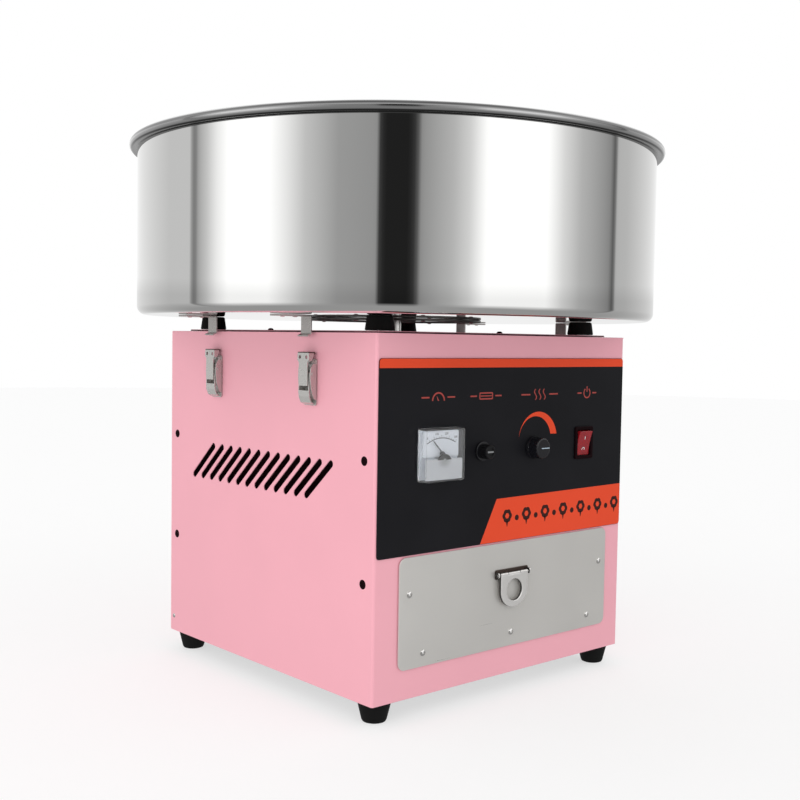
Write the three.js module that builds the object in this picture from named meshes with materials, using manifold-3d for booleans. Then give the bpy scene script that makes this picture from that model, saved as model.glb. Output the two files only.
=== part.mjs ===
// Counter-top cotton candy machine, in millimetres, +Z up.
// The origin is on the floor under the middle of the pan. The control panel faces -Y.
import * as THREE from "three";
import { mergeVertices } from "three/addons/utils/BufferGeometryUtils.js";
import Module from "manifold-3d";

const wasm = await Module();
wasm.setup();

// Driving dimensions

const GAP = 0.3; // clearance between pieces that touch
const SHEET = 1.2; // sheet steel of the cabinet and the pan
const BASE_PLATE = 1.5;

const FOOT = { topRadius: 14.5, bottomRadius: 10.8, height: 18, inset: 17 };
const CABINET = { width: 320, depth: 324, height: 307, bend: 2.5, flange: 22 };
const VENT = { count: 13, pitch: 15.45, first: 56.4, run: 39.1, rise: 34.4, high: 197.6, width: 6.4 };
const REAR_VENT = { count: 9, pitch: 16, height: 40, z: 80 };
const GLAND = { x: -112, z: 42, thread: 8 };

const DECK = { margin: 13, thickness: 1.5, hole: 32 };
const BUMPER = { offset: 130.5, baseRadius: 12.8, topRadius: 11.2 };
const PAN = { rimRadius: 260, wallRadius: 252.6, corner: 8, bead: 4.4, height: 164, hole: 80 };
const PAN_LIFT = 322; // underside of the pan above the cabinet's bottom edge
const COLLAR = 14; // height of the turned-up edge round the pan's hole
const HUB_RING = { outer: 86, inner: 78.5, thickness: 2.2 };
const HOOK = { standoff: 5.2, width: 14, reach: 34, drop: 17.5, thickness: 1.5, lip: 4.5 };

const LATCH = { side: 75, bottom: 244 };
const LATCH_PIVOT = [5, 27]; // lever pin, outward and upward from the latch's foot
const LATCH_LINK = [5.5, 19]; // claw pin on the lever
const LATCH_STUB = 1.5; // radius of the lever pin
const CHEEK = { inner: 7.9, outer: 8.9 }; // base cheeks, from the latch's middle
const ARM = { inner: 6.6, outer: 7.6 }; // lever cheeks
const CLAW = { narrow: 12.4, wide: 16.4 }; // widths of its face and of its hooded top

const PANEL = { width: 316, bottom: 122, top: 286.5, thickness: 0.8, corner: 3 };
const METER = { x: -92.3, z: 205.4, size: 45, depth: 10.6, wall: 1.5, barrel: 19 };
const NEEDLE_ANGLE = 45; // rest angle from upright, towards the left
const FUSE = { x: -38.7, z: 205, flange: 8.5, tube: 6, depth: 34, head: 11 };
const KNOB = { x: 28, z: 205, radius: 10, depth: 13, shaft: 3 };
const SWITCH = { x: 99.2, z: 206, width: 26, height: 31, rocker: 18, travel: 12 };

const DRAWER = { x: 1.5, width: 270, height: 95, bottom: 25.5, corner: 7, thickness: 1.2 };
const TRAY = { width: 250, bottom: 34, height: 70, depth: 212, wall: 1.2 };
const RUNNER = { length: 220, setback: 4, foot: 16, rise: 28, thickness: 1.5 };
const RING = { z: 77.7, outer: 17.8, drop: 15.9, hole: 9.8, thickness: 3.2, pinZ: 92.3 };

const SHAFT = 6; // radius of the motor shaft
const MOTOR = { radius: 46, bottom: 152, top: 262, boss: 24, shoulder: 8 };
const FAN = { below: 20, hub: 14, reach: 42, depth: 12, blades: 6, twist: 50 };
const BRIDGE = { z: 268, width: 312, depth: 120, thickness: 2 };
const HEAD = { radius: 72, floor: 353, band: 46, cap: 14 };

// Derived places

const BASE_Z = FOOT.height;
const TOP_Z = BASE_Z + CABINET.height;
const HALF_X = CABINET.width / 2;
const FRONT_Y = -CABINET.depth / 2;
const REAR_Y = CABINET.depth / 2;
const DECK_Z = TOP_Z + GAP;
const DECK_TOP = DECK_Z + DECK.thickness;
const PAN_Z = BASE_Z + PAN_LIFT;
const PANEL_BACK = FRONT_Y - GAP;
const PANEL_FACE = PANEL_BACK - PANEL.thickness;
const CONTROL_BACK = PANEL_FACE - GAP; // back of what stands on the panel
const BEHIND_FRONT = FRONT_Y + SHEET + GAP; // front of what is fixed behind the sheet
const METER_Z = BASE_Z + METER.z;

// Geometry helpers

function solid(geometry) {
  const bare = geometry.index ? geometry.toNonIndexed() : geometry.clone();
  bare.deleteAttribute("normal");
  bare.deleteAttribute("uv");
  const merged = mergeVertices(bare, 1e-4);
  return new wasm.Manifold(
    new wasm.Mesh({
      numProp: 3,
      vertProperties: new Float32Array(merged.attributes.position.array),
      triVerts: new Uint32Array(merged.index.array),
    }),
  );
}

function fromSolid(body) {
  const mesh = body.getMesh();
  const geometry = new THREE.BufferGeometry();
  geometry.setAttribute("position", new THREE.BufferAttribute(mesh.vertProperties, 3));
  geometry.setIndex(new THREE.BufferAttribute(mesh.triVerts, 1));
  const flat = geometry.toNonIndexed();
  flat.computeVertexNormals();
  return flat;
}

function join(...pieces) {
  return fromSolid(pieces.map(solid).reduce((whole, piece) => whole.add(piece)));
}

function cut(piece, ...tools) {
  return fromSolid(tools.map(solid).reduce((whole, tool) => whole.subtract(tool), solid(piece)));
}

function block(x, y, z) {
  const geometry = new THREE.BoxGeometry(x[1] - x[0], y[1] - y[0], z[1] - z[0]);
  return geometry.translate((x[0] + x[1]) / 2, (y[0] + y[1]) / 2, (z[0] + z[1]) / 2);
}

// A closed outline of [radius, height] points turned about Z.
function turned(outline, segments = 20) {
  const points = outline.map(([radius, height]) => new THREE.Vector2(radius, height));
  const loop = outline[0][0] > 0 ? [...points, points[0].clone()] : points;
  if (THREE.ShapeUtils.isClockWise(loop)) loop.reverse();
  return new THREE.LatheGeometry(loop, segments).rotateX(Math.PI / 2);
}

function ring(outer, inner, low, high, segments = 20) {
  return turned([[inner, low], [outer, low], [outer, high], [inner, high]], segments);
}

function disc(radius, low, high, segments = 20) {
  return turned([[0, low], [radius, low], [radius, high], [0, high]], segments);
}

// Turns a piece made about Z so that its top faces -Y, at a place on the front.
function toFront(geometry, x = 0, z = 0, y = 0) {
  return geometry.rotateX(Math.PI / 2).translate(x, y, z);
}

function outlineShape(points) {
  return new THREE.Shape(points.map(([x, y]) => new THREE.Vector2(x, y)));
}

function roundedShape(width, height, radius, ShapeClass = THREE.Shape) {
  const [w, h] = [width / 2, height / 2];
  const shape = new ShapeClass();
  shape.absarc(w - radius, h - radius, radius, 0, Math.PI / 2);
  shape.absarc(radius - w, h - radius, radius, Math.PI / 2, Math.PI);
  shape.absarc(radius - w, radius - h, radius, Math.PI, 1.5 * Math.PI);
  shape.absarc(w - radius, radius - h, radius, 1.5 * Math.PI, 2 * Math.PI);
  return shape;
}

function plate(shape, thickness, curveSegments = 3) {
  return new THREE.ExtrudeGeometry(shape, { depth: thickness, bevelEnabled: false, curveSegments });
}

// A plate drawn in X and Z, whose back is at y and whose face looks to -Y.
function frontPlate(shape, thickness, x, y, z, curveSegments = 3) {
  return toFront(plate(shape, thickness, curveSegments), x, z, y);
}

// A section drawn in Y and Z, extruded along X about the middle plane.
function alongX(points, width) {
  const geometry = plate(outlineShape(points), width).translate(0, 0, -width / 2);
  return geometry.rotateX(Math.PI / 2).rotateZ(Math.PI / 2);
}

// A section drawn in X and Z, extruded along Y about the middle plane.
function alongY(points, width) {
  const geometry = plate(outlineShape(points), width).translate(0, 0, -width / 2);
  return geometry.rotateX(Math.PI / 2);
}

// A pin along X or Y.
function pin(radius, length, axis, x, y, z, segments = 10) {
  const geometry = new THREE.CylinderGeometry(radius, radius, length, segments);
  if (axis === "x") geometry.rotateZ(Math.PI / 2);
  return geometry.translate(x, y, z);
}

function tapered(lowRadius, highRadius, low, high, x, y) {
  const edge = 1.2;
  const outline = [
    [0, low], [lowRadius - edge, low], [lowRadius, low + edge], [highRadius, high], [0, high],
  ];
  return turned(outline, 16).translate(x, y, 0);
}

// Scene graph

const machine = new THREE.Group();
machine.name = "cotton_candy_machine";

const FINISH = {
  pink: { color: 0xeab0bc, roughness: 0.45, metalness: 0.0 },
  steel: { color: 0xb8b6b2, roughness: 0.32, metalness: 1.0 },
  polished: { color: 0xd6d6d4, roughness: 0.12, metalness: 1.0 },
  aluminium: { color: 0xc4c6c8, roughness: 0.4, metalness: 1.0 },
  zinc: { color: 0x9a9c9e, roughness: 0.5, metalness: 1.0 },
  copper: { color: 0xb87347, roughness: 0.4, metalness: 1.0 },
  rubber: { color: 0x161616, roughness: 0.85, metalness: 0.0 },
  black: { color: 0x141416, roughness: 0.35, metalness: 0.0 },
  panel: { color: 0x1e1e22, roughness: 0.4, metalness: 0.0 },
  white: { color: 0xe8e8ea, roughness: 0.6, metalness: 0.0 },
  clear: { color: 0xe6eef2, roughness: 0.1, metalness: 0.0, transparent: true, opacity: 0.35 },
  red: { color: 0xc01822, roughness: 0.25, metalness: 0.0 },
};

function add(name, finish, geometry) {
  const mesh = new THREE.Mesh(geometry, new THREE.MeshStandardMaterial(FINISH[finish]));
  mesh.name = name;
  machine.add(mesh);
  return mesh;
}

// Cabinet

// One slanted slot, as a bar that runs through both sides.
function ventTool(y) {
  const length = Math.hypot(VENT.run, VENT.rise);
  const bar = plate(roundedShape(VENT.width, length, VENT.width / 2), CABINET.width + 20, 1);
  bar.translate(0, 0, -CABINET.width / 2 - 10);
  bar.rotateX(Math.PI / 2).rotateZ(Math.PI / 2);
  bar.rotateX(Math.atan2(VENT.run, VENT.rise));
  return bar.translate(0, y + VENT.run / 2, BASE_Z + VENT.high - VENT.rise / 2);
}

function ventTools() {
  return Array.from({ length: VENT.count }, (_, i) => ventTool(FRONT_Y + VENT.first + i * VENT.pitch));
}

function controlHoles(low, high) {
  const round = (radius, x, z) => toFront(disc(radius, 0, high - low, 20), x, BASE_Z + z, high);
  const opening = roundedShape(SWITCH.width - 3.4, SWITCH.height - 3.4, 1);
  return [
    round(METER.barrel + GAP, METER.x, METER.z),
    round(FUSE.tube + GAP, FUSE.x, FUSE.z),
    round(KNOB.shaft + 1, KNOB.x, KNOB.z),
    frontPlate(opening, high - low, SWITCH.x, high, BASE_Z + SWITCH.z),
  ];
}

function cabinetWrap() {
  const outer = roundedShape(CABINET.width, CABINET.depth, CABINET.bend);
  const inner = roundedShape(
    CABINET.width - 2 * SHEET, CABINET.depth - 2 * SHEET, CABINET.bend - SHEET,
  );
  const shell = plate(outer, CABINET.height, 3).translate(0, 0, BASE_Z);
  const hollow = plate(inner, CABINET.height + 2, 3).translate(0, 0, BASE_Z - 1);
  const rearMouth = block(
    [SHEET - HALF_X, HALF_X - SHEET], [0, REAR_Y + 1], [BASE_Z - 1, TOP_Z + 1],
  );
  const low = TOP_Z - SHEET;
  const front = FRONT_Y + SHEET / 2;
  const edge = HALF_X - SHEET / 2;
  const inside = HALF_X - CABINET.flange;
  const flanges = [
    block([-edge, edge], [front, FRONT_Y + CABINET.flange], [low, TOP_Z]),
    block([-edge, -inside], [front, REAR_Y - 1.8], [low, TOP_Z]),
    block([inside, edge], [front, REAR_Y - 1.8], [low, TOP_Z]),
  ];
  const drawerMouth = block(
    [-TRAY.width / 2 - 2, TRAY.width / 2 + 2],
    [FRONT_Y - 2, FRONT_Y + SHEET + 2],
    [BASE_Z + TRAY.bottom - 3, BASE_Z + TRAY.bottom + TRAY.height + 3],
  );
  const shellOnly = cut(shell, hollow, rearMouth);
  const holes = controlHoles(FRONT_Y - 2, FRONT_Y + SHEET + 2);
  return cut(join(shellOnly, ...flanges), drawerMouth, ...holes, ...ventTools());
}

function rearPanel() {
  const width = CABINET.width - 2 * SHEET - 2 * GAP;
  const low = BASE_Z + BASE_PLATE + GAP;
  const sheet = block([-width / 2, width / 2], [REAR_Y - SHEET, REAR_Y], [low, TOP_Z]);
  const inside = HALF_X - CABINET.flange - GAP;
  const flange = block([-inside, inside], [REAR_Y - CABINET.flange, REAR_Y], [TOP_Z - SHEET, TOP_Z]);
  const glandHole = toFront(disc(GLAND.thread + GAP, -3, 3, 24), GLAND.x, BASE_Z + GLAND.z, REAR_Y);
  const slot = roundedShape(VENT.width, REAR_VENT.height, VENT.width / 2);
  const slots = Array.from({ length: REAR_VENT.count }, (_, i) => {
    const x = (i - (REAR_VENT.count - 1) / 2) * REAR_VENT.pitch;
    return frontPlate(slot, 6, x, REAR_Y + 2, BASE_Z + REAR_VENT.z, 1);
  });
  return cut(join(sheet, flange), glandHole, ...slots);
}

function buildCabinet() {
  add("cabinet_wrap", "pink", cabinetWrap());
  add("rear_panel", "pink", rearPanel());
  const baseWidth = CABINET.width - 2 * (SHEET + GAP);
  const baseDepth = CABINET.depth - SHEET - 2 * GAP;
  const floor = plate(roundedShape(baseWidth, baseDepth, CABINET.bend), BASE_PLATE, 3);
  add("base_plate", "zinc", floor.translate(0, SHEET / 2, BASE_Z));
  const deck = roundedShape(CABINET.width - 2 * DECK.margin, CABINET.depth - 2 * DECK.margin, 2);
  deck.holes.push(new THREE.Path().absarc(0, 0, DECK.hole, 0, 2 * Math.PI, true));
  add("top_deck", "pink", plate(deck, DECK.thickness, 6).translate(0, 0, DECK_Z));
}

// The four corners, from the front left round to the rear left.
const CORNERS = [
  ["front_left", -1, -1], ["front_right", 1, -1], ["rear_right", 1, 1], ["rear_left", -1, 1],
];

function buildRubber() {
  for (const [corner, sx, sy] of CORNERS) {
    const x = sx * (HALF_X - FOOT.inset);
    const y = sy * (REAR_Y - FOOT.inset);
    const foot = tapered(FOOT.bottomRadius, FOOT.topRadius, 0, BASE_Z - GAP, x, y);
    add(`foot_${corner}`, "rubber", foot);
    const away = BUMPER.offset;
    const bumper = tapered(
      BUMPER.baseRadius, BUMPER.topRadius, DECK_TOP + GAP, PAN_Z - GAP, sx * away, sy * away,
    );
    add(`bumper_${corner}`, "rubber", bumper);
  }
}

function buildGland() {
  const thread = GLAND.thread - 0.1;
  const outline = [[4, -12], [thread, -12], [thread, GAP], [11, GAP], [10, 4], [6.5, 10], [4, 10]];
  const gland = turned(outline, 16).rotateX(-Math.PI / 2);
  add("cord_gland", "black", gland.translate(GLAND.x, REAR_Y, BASE_Z + GLAND.z));
}

// Pan

function arc(centerR, centerZ, radius, from, to, steps) {
  return Array.from({ length: steps + 1 }, (_, i) => {
    const angle = THREE.MathUtils.degToRad(from + ((to - from) * i) / steps);
    return [centerR + radius * Math.cos(angle), centerZ + radius * Math.sin(angle)];
  });
}

function panBowl() {
  const { rimRadius, wallRadius, corner, bead, height, hole } = PAN;
  const cornerR = wallRadius - corner;
  const rimZ = PAN_Z + height;
  const outline = [
    [hole, PAN_Z],
    ...arc(cornerR, PAN_Z + corner, corner, -90, 0, 2),
    [wallRadius, rimZ - 2 * bead - 0.6],
    ...arc(rimRadius - bead, rimZ - bead, bead, -90, 180, 6),
    [wallRadius - SHEET, rimZ - 2 * bead],
    ...arc(cornerR, PAN_Z + corner, corner - SHEET, 0, -90, 2),
    [hole + SHEET, PAN_Z + SHEET],
    [hole + SHEET, PAN_Z + COLLAR],
    [hole, PAN_Z + COLLAR],
  ];
  return turned(outline, 40);
}

// A strip riveted under the pan, bent down past the cabinet's side and out into a lip.
function panHook() {
  const { thickness, reach, drop, lip, width } = HOOK;
  const outline = [
    [0, 0], [reach, 0], [reach, -thickness], [thickness, -thickness],
    [thickness, 1.5 - drop], [lip + 1, -drop], [lip, -drop - 1.2], [0, 0.8 - drop],
  ];
  return alongY(outline, width);
}

function buildPan() {
  add("pan", "polished", panBowl());
  const top = PAN_Z - GAP;
  add("pan_hub_ring", "zinc", ring(HUB_RING.outer, HUB_RING.inner, top - HUB_RING.thickness, top, 24));
  for (const [corner, sx, sy] of CORNERS) {
    const hook = panHook();
    if (sx < 0) hook.rotateZ(Math.PI);
    hook.translate(sx * (HALF_X + HOOK.standoff), sy * LATCH.side, top);
    add(`pan_hook_${corner}`, "steel", hook);
  }
}

// Draw latches. Their sections are drawn outward from the wall and upward from the latch's foot.

function pair(section, side) {
  const width = side.outer - side.inner;
  const away = (side.inner + side.outer) / 2;
  return [-away, away].map((y) => alongY(section, width).translate(0, y, 0));
}

function latchBase() {
  const [pivotOut, pivotUp] = LATCH_PIVOT;
  const back = alongY([[0.3, 0], [1.5, 0], [1.5, 40], [0.3, 40]], 2 * CHEEK.outer);
  const cheeks = pair([[0.9, 4], [4, 6], [7, 14], [7.9, 24], [7.6, 32], [5, 36], [0.9, 36]], CHEEK);
  const stub = CHEEK.inner - ARM.inner + 0.4;
  const away = CHEEK.inner + 0.2 - stub / 2;
  const stubs = [-away, away].map((y) => pin(LATCH_STUB, stub, "y", pivotOut, y, pivotUp, 8));
  return join(back, ...cheeks, ...stubs);
}

function latchLever() {
  const [pivotOut, pivotUp] = LATCH_PIVOT;
  const [linkOut, linkUp] = LATCH_LINK;
  const arms = pair([[3, 14], [8.4, 9], [8.4, 13], [7.8, 28], [5, 30], [2.4, 28], [2.4, 18]], ARM);
  const tail = [[7.4, 13], [7.2, 8], [5.4, 3.4], [2.6, 1.6], [3, 0.6], [6, 2.4], [8.2, 7.6], [8.4, 13]];
  const web = alongY(tail, 2 * ARM.outer);
  const bore = pin(LATCH_STUB + 0.4, 30, "y", pivotOut, 0, pivotUp, 10);
  const link = pin(1.2, 2 * ARM.inner + 0.4, "y", linkOut, 0, linkUp, 8);
  return join(cut(join(...arms, web), bore), link);
}

function latchClaw() {
  const [linkOut, linkUp] = LATCH_LINK;
  const { narrow, wide } = CLAW;
  const hood = [[9.3, 46], [2.6, 46], [2.6, 43.6], [3.8, 43.6], [3.8, 44.8], [8.3, 44.8]];
  const face = alongY([[8.3, 17], [9.3, 16.6], ...hood], narrow);
  const cap = alongY([[8.3, 37.5], [9.3, 37.5], ...hood], wide);
  const knuckle = pin(2.7, narrow, "y", linkOut, 0, linkUp, 12);
  const neck = alongY([[linkOut, 17.4], [8.8, 17.4], [8.8, 20.2], [linkOut, 21.4]], narrow);
  const bore = pin(1.6, 30, "y", linkOut, 0, linkUp, 10);
  const holes = [-4.6, 4.6].map((y) => pin(1.5, 4, "x", 8.8, y, 41.5, 8));
  return cut(join(face, cap, knuckle, neck), bore, ...holes);
}

function buildLatches() {
  for (const [corner, sx, sy] of CORNERS) {
    const place = (geometry) => {
      if (sx < 0) geometry.rotateZ(Math.PI);
      return geometry.translate(sx * HALF_X, sy * LATCH.side, BASE_Z + LATCH.bottom);
    };
    add(`latch_base_${corner}`, "steel", place(latchBase()));
    add(`latch_lever_${corner}`, "steel", place(latchLever()));
    add(`latch_claw_${corner}`, "steel", place(latchClaw()));
  }
}

// Control panel

function buildPanel() {
  const middle = BASE_Z + (PANEL.bottom + PANEL.top) / 2;
  const shape = roundedShape(PANEL.width, PANEL.top - PANEL.bottom, PANEL.corner);
  const overlay = frontPlate(shape, PANEL.thickness, 0, PANEL_BACK, middle);
  add("control_panel", "panel", cut(overlay, ...controlHoles(PANEL_FACE - 2, PANEL_BACK + 0.2)));
}

function buildMeter() {
  const half = METER.size / 2;
  const inner = half - METER.wall;
  const face = CONTROL_BACK - METER.depth;
  const square = roundedShape(METER.size, METER.size, 1.5);
  const box = frontPlate(square, METER.depth, METER.x, CONTROL_BACK, METER_Z);
  const hollow = block(
    [METER.x - inner, METER.x + inner],
    [face + METER.wall, CONTROL_BACK + 1],
    [METER_Z - inner, METER_Z + inner],
  );
  add("voltmeter_cover", "clear", cut(box, hollow));
  const base = inner - GAP;
  const foot = block(
    [METER.x - base, METER.x + base], [CONTROL_BACK - 2, CONTROL_BACK], [METER_Z - base, METER_Z + base],
  );
  const barrel = toFront(disc(METER.barrel, -22, 0.5), METER.x, METER_Z, CONTROL_BACK);
  const movement = block(
    [METER.x - 9, METER.x + 9], [CONTROL_BACK - 3.6, CONTROL_BACK - 1], [METER_Z - 18, METER_Z - 3],
  );
  add("voltmeter_case", "black", join(foot, barrel, movement));
  const dialBack = CONTROL_BACK - 2 - GAP;
  const dial = frontPlate(roundedShape(40, 22, 1), 2, METER.x, dialBack, METER_Z + 9, 3);
  const pivotHole = toFront(disc(1.6, -1, 6, 16), METER.x, METER_Z + 1, dialBack);
  add("voltmeter_dial", "white", cut(dial, pivotHole));
  const needleY = dialBack - 3.4;
  const hub = toFront(disc(1.9, 0, 1, 16), 0, 0, 0);
  const blade = block([-0.35, 0.35], [-0.8, -0.2], [-3, 15.5]);
  const pivot = toFront(disc(0.9, -3, 0.5, 12), 0, 0, 0);
  const needle = join(hub, blade, pivot).rotateY(THREE.MathUtils.degToRad(-NEEDLE_ANGLE));
  add("voltmeter_needle", "black", needle.translate(METER.x, needleY, METER_Z + 1));
}

function buildFuse() {
  const z = BASE_Z + FUSE.z;
  const body = turned([
    [4.4, 2], [FUSE.flange, 2], [FUSE.flange, 0], [FUSE.tube, 0], [FUSE.tube, -FUSE.depth],
    [0, -FUSE.depth], [0, 2 - FUSE.depth], [4.4, 2 - FUSE.depth],
  ].reverse(), 16);
  add("fuse_holder", "black", toFront(body, FUSE.x, z, CONTROL_BACK));
  const head = turned([
    [0, -4], [4, -4], [4, 2 + GAP], [6.6, 2 + GAP], [6.2, FUSE.head - 1], [5.2, FUSE.head], [0, FUSE.head],
  ], 16);
  const slot = block([-3.6, 3.6], [-0.6, 0.6], [FUSE.head - 1.6, FUSE.head + 1]);
  add("fuse_cap", "black", toFront(cut(head, slot), FUSE.x, z, CONTROL_BACK));
  add("fuse_cartridge", "clear", toFront(disc(2.6, -24.5, -4 - GAP, 16), FUSE.x, z, CONTROL_BACK));
}

function buildHeatControl() {
  const z = BASE_Z + KNOB.z;
  const { radius, depth, shaft } = KNOB;
  const bore = shaft + GAP;
  const outline = [
    [bore, 0.4], [radius + 1.6, 0.4], [radius + 1.6, 1.8], [radius, 3.2], [radius - 0.8, depth - 1],
    [radius - 1.8, depth], [0, depth], [0, depth - 3], [bore, depth - 3],
  ];
  const grip = turned(outline.reverse(), 20);
  const pointer = block([-1, 1], [2, radius - 1.4], [depth - 0.5, depth + 1]);
  add("control_knob", "black", toFront(join(grip, pointer), KNOB.x, z, CONTROL_BACK));
  const back = BEHIND_FRONT + 14;
  const spindle = disc(shaft, CONTROL_BACK - back, depth - 3 - GAP, 16);
  add("control_shaft", "aluminium", toFront(spindle, KNOB.x, z, CONTROL_BACK));
  const housing = toFront(disc(17, 0, 18), KNOB.x, z, BEHIND_FRONT + 18);
  const well = toFront(disc(bore, 3.6, 20, 16), KNOB.x, z, BEHIND_FRONT + 18);
  const terminals = block([KNOB.x - 9, KNOB.x + 9], [BEHIND_FRONT + 10, BEHIND_FRONT + 13], [z - 25, z - 14]);
  add("heat_control", "zinc", cut(join(housing, terminals), well));
}

function buildSwitch() {
  const z = BASE_Z + SWITCH.z;
  const { x, width, height, rocker, travel } = SWITCH;
  const bezel = frontPlate(roundedShape(width, height, 2), 1.6, x, CONTROL_BACK, z);
  const housing = frontPlate(roundedShape(width - 4, height - 4, 1), 20, x, CONTROL_BACK + 19.5, z, 2);
  const mouth = block(
    [x - rocker / 2 - 0.5, x + rocker / 2 + 0.5],
    [CONTROL_BACK - 4, CONTROL_BACK + 12],
    [z - 12.6, z + 12.6],
  );
  const pivotY = CONTROL_BACK + 1.4;
  const socket = pin(1.5, rocker + 3, "x", x, pivotY, z, 16);
  add("switch_body", "black", cut(join(bezel, housing), mouth, socket));
  const section = [[1.5, -11.6], [-3.4, -12], [-2.4, 0], [-3.4, 12], [1.5, 11.6], [4, 6], [4, -6]];
  const key = alongX(section, rocker);
  const trunnion = pin(1.1, rocker + 2, "x", 0, 0, 0, 16);
  const tilted = join(key, trunnion).rotateX(THREE.MathUtils.degToRad(travel));
  add("switch_rocker", "red", tilted.translate(x, pivotY, z));
}

// Drawer

function buildDrawer() {
  const middle = BASE_Z + DRAWER.bottom + DRAWER.height / 2;
  const shape = roundedShape(DRAWER.width, DRAWER.height, DRAWER.corner);
  const back = FRONT_Y - 2 * GAP;
  add("drawer_front", "steel", frontPlate(shape, DRAWER.thickness, DRAWER.x, back, middle));
  const half = TRAY.width / 2;
  const low = BASE_Z + TRAY.bottom;
  const front = FRONT_Y - GAP;
  const outer = block([-half, half], [front, front + TRAY.depth], [low, low + TRAY.height]);
  const inner = block(
    [TRAY.wall - half, half - TRAY.wall],
    [front + TRAY.wall, front + TRAY.depth - TRAY.wall],
    [low + TRAY.wall, low + TRAY.height + 1],
  );
  add("drawer_tray", "steel", cut(outer, inner));
}

// A folded runner: a foot on the base plate, a web beside the tray and a ledge under it.
function buildRunners() {
  const { length, setback, foot, rise, thickness } = RUNNER;
  const floor = BASE_Z + BASE_PLATE + GAP;
  const ledge = BASE_Z + TRAY.bottom - GAP;
  const web = TRAY.width / 2 + 1.4;
  const section = [
    [web - foot, ledge - thickness], [web, ledge - thickness], [web, floor], [web + foot, floor],
    [web + foot, floor + thickness], [web + thickness, floor + thickness],
    [web + thickness, ledge + rise], [web, ledge + rise], [web, ledge], [web - foot, ledge],
  ];
  for (const [side, sx] of [["left", -1], ["right", 1]]) {
    const runner = alongY(section, length);
    if (sx < 0) runner.rotateZ(Math.PI);
    add(`drawer_runner_${side}`, "zinc", runner.translate(0, FRONT_Y + setback + length / 2, 0));
  }
}

function buildHandle() {
  const face = FRONT_Y - 2 * GAP - DRAWER.thickness - GAP;
  const pinY = face - 2.7;
  const pinZ = BASE_Z + RING.pinZ;
  const x = DRAWER.x;
  const back = block([x - 21.5, x + 21.5], [face - 0.6, face], [pinZ - 4, pinZ + 4.5]);
  const ears = [-1, 1].map((side) => {
    const ear = alongX([[0.4, -2.6], [-3.6, -2.2], [-4.8, 0], [-3.6, 2.4], [0.4, 3]], 1.2);
    return ear.translate(x + side * 20.4, face - 0.4, pinZ);
  });
  const axle = pin(0.85, 41, "x", x, pinY, pinZ, 12);
  add("handle_bracket", "steel", join(back, ...ears, axle));
  const { outer, drop, hole, thickness } = RING;
  const ringZ = BASE_Z + RING.z;
  const top = pinZ - ringZ;
  const tab = new THREE.Shape();
  tab.moveTo(-outer, top).lineTo(-outer, 0);
  tab.absellipse(0, 0, outer, drop, Math.PI, 2 * Math.PI, false, 0);
  tab.lineTo(outer, top);
  tab.holes.push(new THREE.Path().absarc(0, 0, hole, 0, 2 * Math.PI, true));
  const pull = frontPlate(tab, thickness, x, pinY + 1.2, ringZ, 8);
  const barrel = pin(1.9, 2 * outer, "x", x, pinY, pinZ, 12);
  const bore = pin(1.2, 60, "x", x, pinY, pinZ, 16);
  add("handle_ring", "steel", cut(join(pull, barrel), bore));
}

// Drive

function buildDrive() {
  const bore = SHAFT + GAP;
  const { radius, bottom, top, boss, shoulder } = MOTOR;
  add("motor_body", "zinc", turned([
    [bore, bottom], [boss, bottom], [boss + 2, bottom + shoulder], [radius, bottom + shoulder],
    [radius, top - shoulder], [boss + 2, top - shoulder], [boss, top], [bore, top],
  ], 20));
  const { z, width, depth, thickness } = BRIDGE;
  const bridge = block([-width / 2, width / 2], [-depth / 2, depth / 2], [z, z + thickness]);
  const ends = [-1, 1].map((side) => {
    const x = [side * width / 2, side * (width / 2 - thickness)].sort((a, b) => a - b);
    return block(x, [-depth / 2, depth / 2], [z - 24, z + thickness]);
  });
  const posts = [[-34, 0], [34, 0], [0, -34], [0, 34]].map(([x, y]) =>
    disc(4, top - shoulder + GAP, z + 0.5, 12).translate(x, y, 0));
  const hole = disc(16, z - 2, z + thickness + 2, 24);
  add("motor_bracket", "zinc", cut(join(bridge, ...ends, ...posts), hole));
  add("motor_shaft", "steel", disc(SHAFT, bottom - FAN.below - 2, HEAD.floor + HEAD.band + 20, 20));
  buildFan(bottom - FAN.below);
  buildSlipRing(z + thickness);
}

function buildFan(low) {
  const { hub, reach, depth, blades, twist } = FAN;
  const bore = SHAFT + GAP;
  const middle = low + depth / 2;
  const blade = () => block([-0.8, 0.8], [hub - 2, reach], [-7, 7]).rotateY(THREE.MathUtils.degToRad(twist));
  const vanes = Array.from({ length: blades }, (_, i) =>
    blade().translate(0, 0, middle).rotateZ((i * 2 * Math.PI) / blades));
  const plug = disc(bore, low - 5, low + depth + 5, 24);
  add("cooling_fan", "black", cut(join(ring(hub, bore, low, low + depth, 24), ...vanes), plug));
}

function buildSlipRing(deck) {
  const low = deck + 6;
  const high = low + 34;
  const inner = SHAFT + GAP;
  add("slip_ring_hub", "copper", turned([
    [inner, low], [18, low], [18, low + 14], [20, low + 14], [20, low + 17], [18, low + 17],
    [18, high], [inner, high],
  ], 16));
  const foot = block([24, 50], [-10, 10], [deck + GAP, deck + 3]);
  const post = block([34, 44], [-8, 8], [deck + 2, high]);
  const brushes = [low + 5, low + 19].map((z) => block([18.6, 35], [-3, 3], [z, z + 7]));
  add("brush_holder", "black", join(foot, post, ...brushes));
}

// Spinner head

function perforatedBand(low, high) {
  const band = ring(HEAD.radius, HEAD.radius - 1.2, low, high, 24);
  const slots = Array.from({ length: 6 }, (_, i) => {
    const slot = block([-1.6, 1.6], [-HEAD.radius - 3, HEAD.radius + 3], [low + 8, high - 8]);
    return slot.rotateZ(((i + 0.5) * Math.PI) / 6);
  });
  return cut(band, ...slots);
}

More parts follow.
